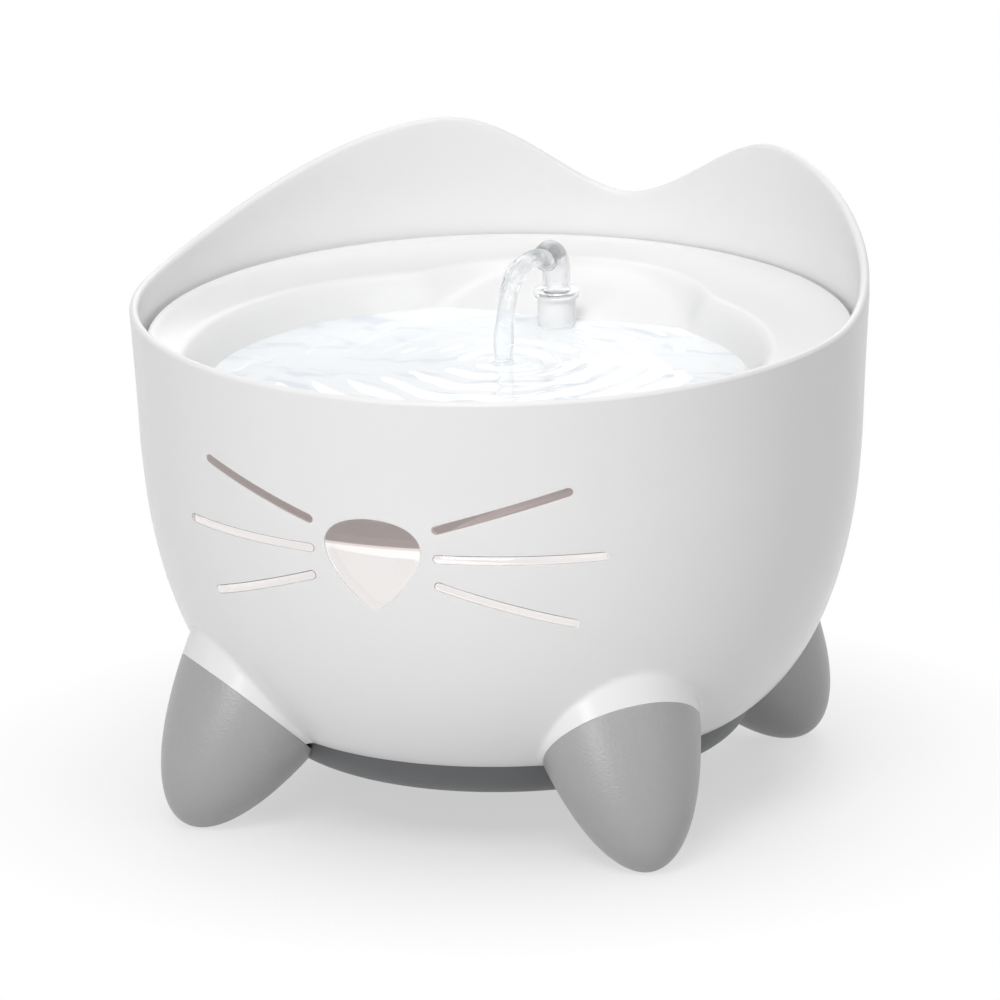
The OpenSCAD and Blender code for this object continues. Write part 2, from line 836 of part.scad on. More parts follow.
core_x = -27;
core_l = 14;
core_gap = 2;
core_w = cavity_w - 2 * core_gap;
core_top = 3;
coil_end_t = 3;
coil_side_t = 1.8;
coil_inset = 7;
bar_z = -17;
bar_h = 3.5;
core_foot_z = -11;

// Laminated stack that carries the field round the rotor
module stator_core() {
    leg_w = 6;
    color([0.5, 0.5, 0.52])
    on_shaft() along_x(core_x, core_x + core_l) {
        difference() {
            translate([-core_w / 2, core_foot_z]) square([core_w, core_top - 2 * core_foot_z]);
            circle(well_r + well_wall + 0.1);
        }
        for (side = [-1, 1])
            translate([side * (core_w - leg_w) / 2 - leg_w / 2, bar_z])
                square([leg_w, core_foot_z - bar_z + e]);
        translate([-core_w / 2, bar_z]) square([core_w, bar_h]);
    }
}

// Winding round the stack's lower bar
module stator_coil() {
    coil_w = core_w - 2 * coil_inset;
    room = 0.1;
    color([0.72, 0.45, 0.2])
    on_shaft() translate([core_x + core_l / 2, 0, bar_z + bar_h / 2]) difference() {
        cube([core_l + 2 * coil_end_t, coil_w, bar_h + 2 * coil_side_t], center = true);
        cube([core_l + 2 * room, coil_w + 2, bar_h + 2 * room], center = true);
    }
}

// Board with its light, in a pocket of the housing's front
module led_board() {
    color("seagreen")
    on_shaft() translate([led_x, -pump_d / 2 + led_pocket, 0]) rotate([90, 0, 0]) {
        cylinder(r = led_r - 2 * led_gap, h = led_board_t);
        translate([0, 0, led_board_t - e]) cylinder(r = led_chip_r, h = led_chip_h);
    }
}

module led_lens() {
    lens_y = led_pocket - led_board_t - led_chip_h - fit_gap;
    color([0.9, 0.92, 0.95, 0.6])
    on_shaft() translate([led_x, lens_y - pump_d / 2, 0]) rotate([90, 0, 0]) rotate_extrude()
        polygon([[0, 0], [led_r, 0], [led_r, lens_rim_h], [led_r - 1, 0.85 * lens_h], [0, lens_h]]);
}

module suction_cups() {
    color([0.3, 0.3, 0.32])
    for (p = cup_places) translate([p[0], spout_y + p[1], floor_z]) rotate_extrude() polygon([
        [0, cup_h * 0.45], [cup_r - 2 * cup_lip, 0], [cup_r, 0], [cup_r, cup_lip],
        [cup_stem_r, cup_h * 0.75], [cup_stem_r, cup_h], [cup_nub_r, cup_h],
        [cup_nub_r, cup_h + cup_nub_h], [0, cup_h + cup_nub_h]
    ]);
}

module shaft_bush(x) {
    color("black")
    on_shaft() tube_x(bush_r, shaft_r + run_gap, x, x + bush_l);
}

module rear_shaft_bush() { shaft_bush(well_end_x - bush_seat); }
module front_shaft_bush() { shaft_bush(chamber_l - bush_sink); }

module impeller_shaft() {
    color("silver")
    on_shaft() rod_x(shaft_r, well_end_x - bush_seat, chamber_l + bush_l - shaft_short);
}

module rotor_magnet() {
    color([0.28, 0.28, 0.3])
    on_shaft() tube_x(magnet_r, shaft_r + run_gap, magnet_x, magnet_x + magnet_l);
}

module impeller() {
    hub_r = 4.6;
    hub_x = magnet_x + magnet_l;
    disc_x = chamber_x + 0.8;
    disc_t = 1.4;
    hub_end = chamber_l - 1;
    blade_t = 1.2;
    blade_bite = 0.5;
    color("ghostwhite")
    on_shaft() difference() {
        union() {
            rod_x(hub_r, hub_x, hub_end);
            rod_x(impeller_r - 1, disc_x, disc_x + disc_t);
            for (i = [0:blades - 1])
                rotate([i * 360 / blades, 0, 0])
                    translate([disc_x + disc_t - e, -blade_t / 2, hub_r - blade_bite])
                        cube([hub_end - disc_x - disc_t - 1, blade_t, impeller_r - hub_r + blade_bite]);
        }
        rod_x(shaft_r + run_gap, hub_x - 1, hub_end + 1);
    }
}

// Chamber's cover, with a spoked boss for the front bush
module pump_cover() {
    boss_out_r = bush_r + bush_boss_t;
    spoke_w = 2.4;
    ring_gap = 0.1;
    ring_t = 1.7;
    ring_h = 2;
    color([0.24, 0.25, 0.27])
    on_shaft() difference() {
        union() {
            along_x(chamber_l, chamber_l + cover_t) {
                difference() {
                    housing_outline(0);
                    circle(intake_r);
                }
                circle(boss_out_r);
                for (a = [30:120:270])
                    rotate(a) translate([boss_out_r - 1, -spoke_w / 2])
                        square([intake_r - boss_out_r + 2, spoke_w]);
            }
            tube_x(chamber_r - ring_gap, chamber_r - ring_gap - ring_t, chamber_l - ring_h, chamber_l + e);
        }
        rod_x(bush_r + fit_gap, chamber_l - 1, chamber_l + bush_l - bush_sink);
    }
}

// Slotted box over the intake foam, with three ports in its face
module strainer_cover() {
    end_x = strainer_x + strainer_l;
    inner_end = end_x - strainer_wall;
    color([0.2, 0.21, 0.23])
    on_shaft() difference() {
        along_x(strainer_x, end_x) round_rect(strainer_d, strainer_h, strainer_corner_r);
        along_x(strainer_x - 1, inner_end) round_rect(
            strainer_d - 2 * strainer_wall, strainer_h - 2 * strainer_wall, strainer_corner_r - 1);
        rod_x(dial_pin_r + run_gap, inner_end - 1, end_x + 1);
        ports(inner_end - 1, end_x + 1);
        for (i = [-1.5:1.5])
            translate([strainer_x + 3, -strainer_d, i * slot_pitch - slot_w / 2])
                cube([foam_t - 5, 2 * strainer_d, slot_w]);
    }
}

module ports(x0, x1) {
    for (a = [0:120:240])
        rotate([a, 0, 0]) translate([0, 0, port_ring_r]) rod_x(port_r, x0, x1);
}

module intake_foam() {
    foam_w = strainer_d - 2 * strainer_wall - 2 * side_gap;
    foam_h = strainer_h - 2 * strainer_wall - 2 * side_gap;
    color([0.15, 0.15, 0.17])
    on_shaft() along_x(strainer_x, strainer_x + foam_t) round_rect(foam_w, foam_h, 2.5);
}

// Dial that opens and closes the strainer's ports
module flow_dial() {
    grip_h = 3;
    grip_w = 2.2;
    grip_l = 2 * dial_r - 2;
    color([0.55, 0.57, 0.6])
    on_shaft() difference() {
        union() {
            rod_x(dial_r, dial_x, dial_x + dial_t);
            rod_x(dial_pin_r, dial_x - strainer_wall, dial_x + e);
            translate([dial_x + dial_t - e, -grip_l / 2, -grip_w / 2]) cube([grip_h, grip_l, grip_w]);
        }
        ports(dial_x - 1, dial_x + dial_t + 1);
    }
}

module riser_tube() {
    color([0.85, 0.87, 0.88, 0.7])
    translate([0, spout_y, riser_z]) difference() {
        cylinder(r = outlet_r + riser_wall, h = riser_top_z - riser_z);
        translate([0, 0, -1]) cylinder(r = outlet_r, h = riser_top_z - riser_z + 2);
    }
}

bowl_shell();
face_window();
base_cover();
foot_front_left();
foot_front_right();
foot_rear_left();
foot_rear_right();
base_screws();
cord_grommet();
dish();
spout_seal();
spout();
filter_tray();
filter_granules();
filter_fleece();
filter_frame();
riser_tube();
pump_body();
pump_end_cap();
stator_core();
stator_coil();
led_board();
led_lens();
suction_cups();
rear_shaft_bush();
impeller_shaft();
rotor_magnet();
impeller();
pump_cover();
front_shaft_bush();
strainer_cover();
intake_foam();
flow_dial();
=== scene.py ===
"""Pet water fountain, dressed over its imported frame.

The file is laid out as a Blender add-on and is run as a script. Lengths in
the settings are metres; the mesh code works in millimetres and scales once.
"""
import math

import bmesh
import bpy
import numpy as np
from mathutils import Matrix, Vector


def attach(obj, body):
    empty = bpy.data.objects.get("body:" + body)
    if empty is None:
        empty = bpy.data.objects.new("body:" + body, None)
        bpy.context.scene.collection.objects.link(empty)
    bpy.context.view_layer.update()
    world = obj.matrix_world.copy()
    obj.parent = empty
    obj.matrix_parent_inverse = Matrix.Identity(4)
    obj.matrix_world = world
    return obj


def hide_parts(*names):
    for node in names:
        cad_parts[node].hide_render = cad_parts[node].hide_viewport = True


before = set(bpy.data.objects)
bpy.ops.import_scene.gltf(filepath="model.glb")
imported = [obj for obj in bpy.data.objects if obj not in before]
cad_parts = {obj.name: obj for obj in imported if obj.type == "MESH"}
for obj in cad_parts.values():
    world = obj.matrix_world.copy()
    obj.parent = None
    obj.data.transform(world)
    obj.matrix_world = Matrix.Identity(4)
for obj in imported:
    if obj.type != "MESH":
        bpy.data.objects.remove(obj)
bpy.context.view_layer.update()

bl_info = {
    "name": "Pet water fountain",
    "version": (1, 0, 0),
    "blender": (4, 5, 0),
    "location": "View3D > Sidebar > Fountain",
    "description": "Builds the visible pieces, finishes and studio of a pet water fountain",
    "category": "Object",
}

MM = 0.001

# Tank wall, in millimetres: superellipse belly under a flared rim
RIM_Z = 163.0
SHOULDER_Z = 120.0
SHOULDER_R = 117.0
FLARE = 3.0
FLARE_FROM_Z = 108.0
FLARE_POWER = 1.3
BELLY_Z = 18.8
BELLY_POWER = 1.756
BELLY_ROOT = 4.745
BOTTOM_Z = 29.4
FLOOR_Z = 33.0
CREASE_TOP_Z = 58.0
EAR_RISE = 28.5
EAR_DIP = 3.8
EAR_ANGLE = 30.0
EAR_FOOT_ANGLE = 95.0
LEDGE_Z = 139.0
LEDGE_R = 112.5
LEDGE_T = 1.8
LEDGE_FOOT_Z = 134.4
CORNER_TOP_Z = 44.0
CORNER_R = 5.0
GLAND_R, GLAND_Y, GLAND_Z = 5.0, 115.5, 122.0

# Feet: ellipsoids that lean in and run on into the tank's ankles
FOOT_ANGLES = (-135.0, -45.0, 45.0, 135.0)
REAR_SHIFT = 6.5
FOOT_PAIRS = (("front", 0.0, -135.0), ("rear", REAR_SHIFT, 45.0))
FOOT_LEAN = math.radians(33)
FOOT_GROW = 21.0
FOOT_LENGTH = 180.0
FOOT_REACH = 88.0
FOOT_TIP = (114.746, 1.2346)
SEAM_R = 80.9
SEAM_SLOPE = math.radians(41.7)
BASE_R = 61.0
BASE_Z = 15.8
BASE_EDGE_R = 80.3
BASE_WALL = 2.5

# Screws: where they stand, and their bosses, threads and recesses
SCREW_R = 58.0
BOSS_R, BOSS_FOOT_Z = 4.5, 20.8
THREAD_R, THREAD_TOP_Z = 1.5, 29.3
RECESS_R, RECESS_DEPTH = 3.2, 1.6
SCREW_HOLE_R = 1.8

# Face: each whisker is (inner height, outer x, outer height)
WHISKERS = ((119.7, 61.4, 131.9), (109.8, 70.2, 109.1), (100.4, 61.0, 86.6))
WHISKER_IN_X = 21.8
WHISKER_W = 3.0
NOSE_HALF_W = 16.4 / 1.1
NOSE_MID_Z = 106.5
NOSE_HALF_H = 15.5
WINDOW_HALF_W = 77.2
WINDOW_LOW_Z = 80.6
WINDOW_HIGH_Z = 134.1

# Dish
DISH_R = 114.8
DISH_Z = 152.0
DECK_Z = 151.4
DECK_IN_R = 112.0
BASIN_Z = 127.0
BASIN_Y = -21.0
BASIN_R = 91.0
BASIN_FLOOR_R = 62.0
RAMP_FOOT_Y = 20.0
RAMP_R = 52.6
RAMP_Y = 36.3
DRAIN_Y, DRAIN_Z = -60.0, 124.5

# Filter: its axis, the collar under the dish, the granule bed and the fleece pad
FILTER_Y = -40.0
COLLAR_R = (40.9, 42.7)
COLLAR_Z = (112.5, 125.5)
BED_R, BED_Z = 37.0, (105.9, 109.2)
FLEECE_R, FLEECE_Z = 38.6, (111.15, 117.05)

# Spout, its tower on the dish and the tube under it
SPOUT_Y = 51.7
TOWER_R, TOWER_FOOT_Z, TOWER_Z = 6.2, 128.0, 149.4
TUBE_R, TUBE_FOOT_Z = 4.95, 97.5
CHANNEL_R = 3.2
SOCKET_R, SOCKET_FOOT_Z = 4.55, 137.4
FLANGE_Z = 150.2
BEND_Z = 158.7
SHANK = 11.0

# Pump
COIL_MIDDLE = (-20.0, SPOUT_Y, 45.75)
COIL_LENGTH = 16.0
FOAM_X = (12.1, 21.9)
FOAM_Z = 61.0
FOAM_HALF = (14.9, 13.9)

# Water: the stream's centre line as (y, z), and how far the tank's water stays
# inside the outer wall, in front of the window's plate and elsewhere
STREAM_PATH = ((46.0, 164.9), (43.0, 165.0), (40.0, 165.4), (35.0, 166.8), (28.0, 168.1),
               (20.0, 167.9), (14.0, 166.2), (10.0, 163.5), (7.3, 160.2), (5.4, 156.2),
               (4.0, 151.3), (3.2, 146.5), (2.8, 143.0), (2.7, 139.6))
WATER_FROM_WALL = (5.05, 2.95)
WATER_STEP_ANGLES = (45.0, 49.0)

# Glow painted on the tank's water, in metres: it lies in front of a plane and over a height
GLOW_FRONT_Y = -0.085
GLOW_LOW_Z = 0.08
GLOW_TONE = (1.0, 0.98, 0.975)
TINT_EDGE = 0.0002

# Studio: what the camera aims at, and each lamp's setting, place and side in metres
AIM_RIGHT = -0.935
AIM_Z = 94.646
LAMP_TARGET = (0.0, 0.0, 0.1)
LAMPS = (("key", (0.25, -1.65, 2.2), 1.1), ("top", (0.12, 0.35, 2.5), 1.4),
         ("back", (-0.5, 2.0, 1.3), 1.3), ("low", (-0.55, -2.3, 0.5), 0.5),
         ("fill", (1.8, -0.9, 1.9), 0.9))


def grey(level, warm=0.0):
    """Linear colour of a display grey, a little warmer or cooler."""
    value = (level / 255.0) ** 2.2
    return (value * (1 + warm), value, value * (1 - warm))


def length(name, text, default):
    """Setting in metres whose default is given in millimetres."""
    return bpy.props.FloatProperty(
        name=name, description=text, default=default * MM, unit="LENGTH", precision=5)


def amount(name, text, default, **options):
    """Setting that is a plain number."""
    return bpy.props.FloatProperty(name=name, description=text, default=default, **options)


def angle_setting(name, text, degrees):
    """Setting that is an angle, given in degrees."""
    return amount(name, text, math.radians(degrees), subtype="ANGLE")


def colour(name, text, default):
    """Setting that is a linear colour."""
    return bpy.props.FloatVectorProperty(
        name=name, description=text, default=default, size=3, min=0.0, max=1.0,
        subtype="COLOR")


# ---------------------------------------------------------------- settings

class FountainTankSettings(bpy.types.PropertyGroup):
    wall: length("Wall", "Thickness of the tank wall", 3.0)
    ankle_blend: length("Ankle blend", "Width of the soft crease between belly and ankle", 1.5)
    seam_round: length("Seam rounding", "Rounding of the edge over each foot", 0.35)
    cutout_round: length("Cutout rounding", "Rounding of the nose and whisker edges", 0.25)
    window_gap: length("Window gap", "Gap between the clear bosses and their cutouts", 0.1)
    window_plate: length("Window plate", "Thickness of the clear plate", 1.8)
    shell_colour: colour(
        "Shell colour", "Colour of the glossy white plastic", (0.893, 0.887, 0.888))
    window_colour: colour(
        "Window tint", "Tint of the window over the lit water", (0.74, 0.725, 0.72))
    # Painted shade: a darker tint of the window above the tank's water, standing in for the dark
    # tank behind it.
    window_painted_shade: colour(
        "Window tint above", "Tint of the window over the dark above the water",
        (0.27, 0.235, 0.227))
    # Painted glow: emission on the window above the tank's water, standing in for light scattered
    # in the tinted plate.
    window_painted_glow: colour(
        "Window haze", "Light that scatters inside the tinted plate above the water",
        (0.18, 0.157, 0.153))
    grain: length("Surface grain", "Height of the moulded surface's unevenness", 0.006)


class FountainFootSettings(bpy.types.PropertyGroup):
    seam_gap: length("Seam gap", "Gap between foot and tank", 0.1)
    edge_round: length("Edge rounding", "Rounding of the foot's cut edges", 0.35)
    foot_colour: colour("Foot colour", "Colour of the satin grey feet", grey(166))
    # Painted shade: the base cover is the feet's grey plastic, made darker here for the shade under
    # the belly.
    base_shaded_colour: colour("Base colour", "Colour of the base cover", grey(104, -0.03))
    foot_grain: length("Foot grain", "Height of the feet's fine texture", 0.16)


class FountainDishSettings(bpy.types.PropertyGroup):
    wall: length("Wall", "Thickness of the dish", 2.5)
    shoulder: length("Shoulder", "Softness of the basin's shoulder", 8.0)
    rim_round: length("Rim rounding", "Rounding of the dish's rim", 1.2)
    drain_pitch: length("Drain pitch", "Distance between the drain holes", 8.0)
    drain_radius: length("Drain radius", "Radius of one drain hole", 2.0)
    dish_colour: colour("Dish colour", "Colour of the dish", grey(243, 0.002))


class FountainSpoutSettings(bpy.types.PropertyGroup):
    tube_radius: length("Tube radius", "Outside radius of the spout", 4.5)
    bore_radius: length("Bore radius", "Radius of the spout's bore", 3.2)
    flange_radius: length("Flange radius", "Radius of the spout's flange", 7.5)
    bend_radius: length("Bend radius", "Radius of the bend on its centre line", 6.6)
    bend_turn: angle_setting("Bend turn", "Angle that the spout turns over", 100)
    mouth: length("Mouth", "Length of the mouth after the bend", 3.0)
    tint: colour("Tint", "Tint of the clear plastic", (0.975, 0.98, 0.985))


class FountainFilterSettings(bpy.types.PropertyGroup):
    pellet_radius: length("Pellet radius", "Radius of one granule", 1.1)
    pellet_length: length("Pellet length", "Length of one granule", 2.8)
    pellet_spacing: length("Pellet spacing", "Least distance between granules", 2.1)
    pellet_seed: bpy.props.IntProperty(
        name="Pellet seed", description="Seed of the granules' places", default=7)
    fleece_crown: length("Fleece crown", "How far the fleece pad crowns", 0.5)
    granule_colour: colour("Granule colour", "Colour of the granules", (0.035, 0.034, 0.036))
    fleece_colour: colour("Fleece colour", "Colour of the fleece", grey(232, 0.01))
    tray_colour: colour("Tray colour", "Colour of the filter tray", grey(225, 0.003))


class FountainPumpSettings(bpy.types.PropertyGroup):
    wire_radius: length("Wire radius", "Radius of the winding's wire", 0.38)
    wire_pitch: length("Wire pitch", "Distance between turns", 0.82)
    housing_colour: colour("Housing colour", "Colour of the pump housing", (0.035, 0.037, 0.042))
    foam_colour: colour("Foam colour", "Colour of the intake foam", (0.022, 0.022, 0.025))


class FountainWaterSettings(bpy.types.PropertyGroup):
    pool_z: length("Pool level", "Height of the water in the dish", 140.5)
    sink: length(
        "Sink", "How far the water runs into the dish's surface, so that no gap shows", 0.3)
    # The painted glow on the tank's water stops at this level, and the window's painted shade
    # starts there.
    tank_z: length("Tank level", "Height up to which the water in the tank is lit", 112.4)
    unlit: length("Unlit water", "Depth of the water over the lit part", 2.8)
    ripple: length("Ripple height", "Height of the pool's ripples", 0.35)
    ripple_pitch: length("Ripple spacing", "Distance between ripples", 11.0)
    stream_radius: length("Stream radius", "Radius of the falling stream", 3.1)
    tint: colour("Water tint", "Tint of the water", (0.95, 0.97, 0.98))
    pool_tint: colour(
        "Pool tint", "Tint of the pool, which the sky lights from above", (0.57, 0.588, 0.60))
    # Painted shade on the ripples' far sides.
    ripple_shade_tint: colour("Ripple tint", "Tint of the ripples' far sides", (0.42, 0.45, 0.50))
    # Strength of the painted glow on the tank's water behind the window.
    glow: amount(
        "Window glow", "Strength of the lit water behind the window", 1.16, min=0.0, max=5.0)


class FountainStudioSettings(bpy.types.PropertyGroup):
    azimuth: angle_setting("Azimuth", "Camera's turn from straight ahead", 21.287)
    elevation: angle_setting("Elevation", "Camera's height angle", 16.844)
    roll: angle_setting("Roll", "Camera's roll", -1.045)
    distance: length("Distance", "Camera's distance", 5866.17)
    lens: amount("Lens", "Focal length in millimetres", 649.64)
    key: amount("Key light", "Watts of the key light", 28.5)
    top: amount("Top light", "Watts of the top light", 15.0)
    low: amount("Low light", "Watts of the low front light", 10.0)
    fill: amount("Fill light", "Watts of the fill light", 6.0)
    back: amount("Back light", "Watts of the back light", 7.0)
    sky: amount("Sky", "Strength of the even light", 0.22)
    floor_colour: colour("Floor colour", "Colour of the floor", grey(224))


# ---------------------------------------------------------------- mesh helpers

def new_object(name, points, faces):
    """Object from points in millimetres."""
    mesh = bpy.data.meshes.new(name)
    mesh.from_pydata((np.asarray(points, float) * MM).tolist(), [], faces)
    mesh.update()
    obj = bpy.data.objects.new(name, mesh)
    bpy.context.scene.collection.objects.link(obj)
    return obj


def skin_faces(sizes, loop=False):
    """Quads and fans between rings of n points or single poles."""
    starts = np.concatenate(([0], np.cumsum(sizes))).astype(int)
    pairs = [(i, i + 1) for i in range(len(sizes) - 1)]
    if loop:
        pairs.append((len(sizes) - 1, 0))
    faces = []
    for i, j in pairs:
        a, b, na, nb = starts[i], starts[j], sizes[i], sizes[j]
        n = max(na, nb)
        for k in range(n):
            m = (k + 1) % n
            if na == 1:
                faces.append((int(a), int(b + m), int(b + k)))
            elif nb == 1:
                faces.append((int(a + k), int(a + m), int(b)))
            else:
                faces.append((int(a + k), int(a + m), int(b + m), int(b + k)))
    return faces


def skin(name, rings, loop=False, sharp=35):
    """Closed surface through rings of points."""
    rings = [np.atleast_2d(np.asarray(r, float)) for r in rings]
    obj = new_object(name, np.concatenate(rings), skin_faces([len(r) for r in rings], loop))
    return tidy(obj, sharp)


def tidy(obj, sharp=35):
    """Merge doubles, turn every face outwards and shade smooth up to an angle."""
    bm = bmesh.new()
    bm.from_mesh(obj.data)
    bmesh.ops.remove_doubles(bm, verts=bm.verts, dist=2e-6)
    bmesh.ops.recalc_face_normals(bm, faces=bm.faces)
    bm.to_mesh(obj.data)
    bm.free()
    smooth(obj, sharp)
    return obj


def smooth(obj, sharp=35):
    """Shade smooth, with edges over an angle in degrees kept sharp."""
    obj.data.shade_smooth()
    obj.data.set_sharp_from_angle(angle=math.radians(sharp))
    return obj


def circle(radius, z, n, centre=(0.0, 0.0)):
    """Points of a level circle."""
    a = np.arange(n) * 2 * math.pi / n
    x, y = centre[0] + radius * np.cos(a), centre[1] + radius * np.sin(a)
    return np.stack([x, y, np.full(n, z)], 1)


def lathe(name, profile, n=96, centre=(0.0, 0.0), loop=False, sharp=35):
    """Turned solid; a profile point on the axis is a pole."""
    rings = [np.array([[*centre, z]]) if r < 1e-6 else circle(r, z, n, centre)
             for r, z in profile]
    return skin(name, rings, loop, sharp)


def round_corners(points, radius, steps=5, closed=True):
    """Polyline with its corners rounded, radius for all or one for each corner."""
    pts = [np.asarray(p, float) for p in points]
    n = len(pts)
    radii = [radius] * n if np.isscalar(radius) else list(radius)
    out = []
    for i, p in enumerate(pts):
        if radii[i] <= 0 or (not closed and i in (0, n - 1)):
            out.append(p)
            continue
        a, b = pts[i - 1] - p, pts[(i + 1) % n] - p
        la, lb = np.linalg.norm(a), np.linalg.norm(b)
        ua, ub = a / la, b / lb
        half = math.acos(max(-1.0, min(1.0, float(ua @ ub)))) / 2
        reach = min(radii[i] / math.tan(half), la * 0.49, lb * 0.49)
        before, after = p + ua * reach, p + ub * reach
        for k in range(steps + 1):
            t = k / steps
            out.append((1 - t) ** 2 * before + 2 * t * (1 - t) * p + t * t * after)
    return out


def bake(obj):
    """Turn an object's modifiers into its plain mesh."""
    depsgraph = bpy.context.evaluated_depsgraph_get()
    mesh = bpy.data.meshes.new_from_object(obj.evaluated_get(depsgraph), depsgraph=depsgraph)
    old = obj.data
    obj.modifiers.clear()
    obj.data = mesh
    mesh.name = obj.name
    bpy.data.meshes.remove(old)
    return obj


def combine(obj, others, operation="DIFFERENCE", sharp=35):
    """Boolean of an object with others, which are used up."""
    for other in others:
        mod = obj.modifiers.new("cut", "BOOLEAN")
        mod.operation = operation
        mod.solver = "MANIFOLD"
        mod.object = other
    before = len(obj.data.polygons)
    bake(obj)
    if not obj.data.polygons:
        raise RuntimeError(f"{obj.name}: nothing left of {before} faces")
    for other in others:
        mesh = other.data
        bpy.data.objects.remove(other)
        bpy.data.meshes.remove(mesh)
    return smooth(obj, sharp)


def rod(name, radius, low, high, x=0.0, y=0.0, n=32, bevel=0.0):
    """Upright rod from low to high."""
    profile = [(0, low), (radius, low), (radius, high), (0, high)]
    if bevel:
        profile = round_corners(profile, bevel, 3, closed=False)
    return lathe(name, profile, n, (x, y))


def strand(name, points, swell):
    """Open path with the attribute that scales the tube laid along it."""
    obj = new_object(name, points, [])
    obj.data.edges.add(len(points) - 1)
    for k, edge in enumerate(obj.data.edges):
        edge.vertices = (k, k + 1)
    obj.data.attributes.new("swell", "FLOAT", "POINT").data.foreach_set("value", swell)
    return obj


def finish_piece(obj, body, slot, material, *nodes):
    """Give a piece its material and its body, and hide the nodes that it stands for."""
    obj.data.materials.clear()
    obj.data.materials.append(material)
    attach(obj, body)
    if nodes:
        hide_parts(*nodes)
    return obj


# ---------------------------------------------------------------- node helpers

def geometry_tree(name, sockets):
    """Empty geometry tree with named inputs: (name, type, default)."""
    tree = bpy.data.node_groups.new(name, "GeometryNodeTree")
    face = tree.interface
    face.new_socket("Geometry", in_out="INPUT", socket_type="NodeSocketGeometry")
    for label, kind, default in sockets:
        socket = face.new_socket(label, in_out="INPUT", socket_type=kind)
        if default is not None:
            socket.default_value = default
    face.new_socket("Material", in_out="INPUT", socket_type="NodeSocketMaterial")
    face.new_socket("Geometry", in_out="OUTPUT", socket_type="NodeSocketGeometry")
    return tree


class Wiring:
    """Short way to add and link nodes of one tree."""

    def __init__(self, tree):
        self.tree = tree
        self.column = 0

    def node(self, kind, links=None, **values):
        """New node; links sets its inputs, by sockets or by plain values."""
        node = self.tree.nodes.new(kind)
        node.location = (self.column * 190, -40 * (self.column % 5))
        self.column += 1
        for key, value in values.items():
            setattr(node, key, value)
        for key, value in (links or {}).items():
            socket = node.inputs[key]
            if isinstance(value, bpy.types.NodeSocket):
                self.tree.links.new(value, socket)
            else:
                socket.default_value = value
        return node

    def math(self, operation, a, b=0.0, c=None):
        links = {0: a, 1: b}
        if c is not None:
            links[2] = c
        return self.node("ShaderNodeMath", links, operation=operation).outputs[0]

    def vector(self, operation, a, b=(0, 0, 0)):
        node = self.node("ShaderNodeVectorMath", {0: a, 1: b}, operation=operation)
        return node.outputs["Value" if operation in ("LENGTH", "DISTANCE") else "Vector"]

    def scaled(self, vector, factor):
        return self.node("ShaderNodeVectorMath", {0: vector, "Scale": factor},
                         operation="SCALE").outputs[0]

    def parts(self, vector):
        """The x, y and z of a vector."""
        return self.node("ShaderNodeSeparateXYZ", {0: vector}).outputs

    def place(self):
        """Place on the object, in metres."""
        return self.node("ShaderNodeTexCoord").outputs["Object"]

    def ramp(self, value, low, high, first=0.0, last=1.0, kind="LINEAR"):
        """A value from one range taken to another, and held at the ends."""
        return self.node("ShaderNodeMapRange", {0: value, 1: low, 2: high, 3: first, 4: last},
                         interpolation_type=kind).outputs[0]

    def tones(self, share, a, b):
        """One colour passing into another."""
        node = self.node("ShaderNodeMix", data_type="RGBA")
        inputs = {socket.identifier: socket for socket in node.inputs}
        self.tree.links.new(share, inputs["Factor_Float"])
        self.tree.links.new(a, inputs["A_Color"])
        inputs["B_Color"].default_value = (*b, 1.0)
        return next(s for s in node.outputs if s.identifier == "Result_Color")

    def emit(self, shader, light, strength):
        self.tree.links.new(light, shader.inputs["Emission Color"])
        shader.inputs["Emission Strength"].default_value = strength

    def seen(self):
        """1 for rays that look at the backdrop, 0 for rays that gather its light."""
        rays = self.node("ShaderNodeLightPath").outputs
        mirrored = self.math("MAXIMUM", rays["Is Glossy Ray"], rays["Is Transmission Ray"])
        return self.math("MAXIMUM", rays["Is Camera Ray"], mirrored)

    def ends(self):
        return self.node("NodeGroupInput"), self.node("NodeGroupOutput")


def finish_tree(wiring, group_in, group_out, geometry):
    """Close a geometry tree with real geometry and its material."""
    real = wiring.node("GeometryNodeRealizeInstances", {"Geometry": geometry})
    dressed = wiring.node("GeometryNodeSetMaterial", {
        "Geometry": real.outputs["Geometry"], "Material": group_in.outputs["Material"]})
    wiring.tree.links.new(dressed.outputs["Geometry"], group_out.inputs["Geometry"])


def run_tree(obj, tree, material, **values):
    """Run a tree on an object with its inputs set, and keep the plain mesh."""
    mod = obj.modifiers.new(tree.name, "NODES")
    mod.node_group = tree
    wanted = {key.replace("_", " "): value for key, value in values.items()}
    wanted["material"] = material
    for item in tree.interface.items_tree:
        is_input = item.item_type == "SOCKET" and item.in_out == "INPUT"
        if is_input and item.name.lower() in wanted:
            mod[item.identifier] = wanted[item.name.lower()]
    obj.update_tag()
    return bake(obj)


def ring_of(obj, count, first, material=None):
    """Turn a piece into copies a quarter turn apart, the first at an angle in degrees."""
    return run_tree(obj, bpy.data.node_groups["Ring of copies"], material,
                    count=count, first_angle=math.radians(first), step_angle=math.pi / 2)


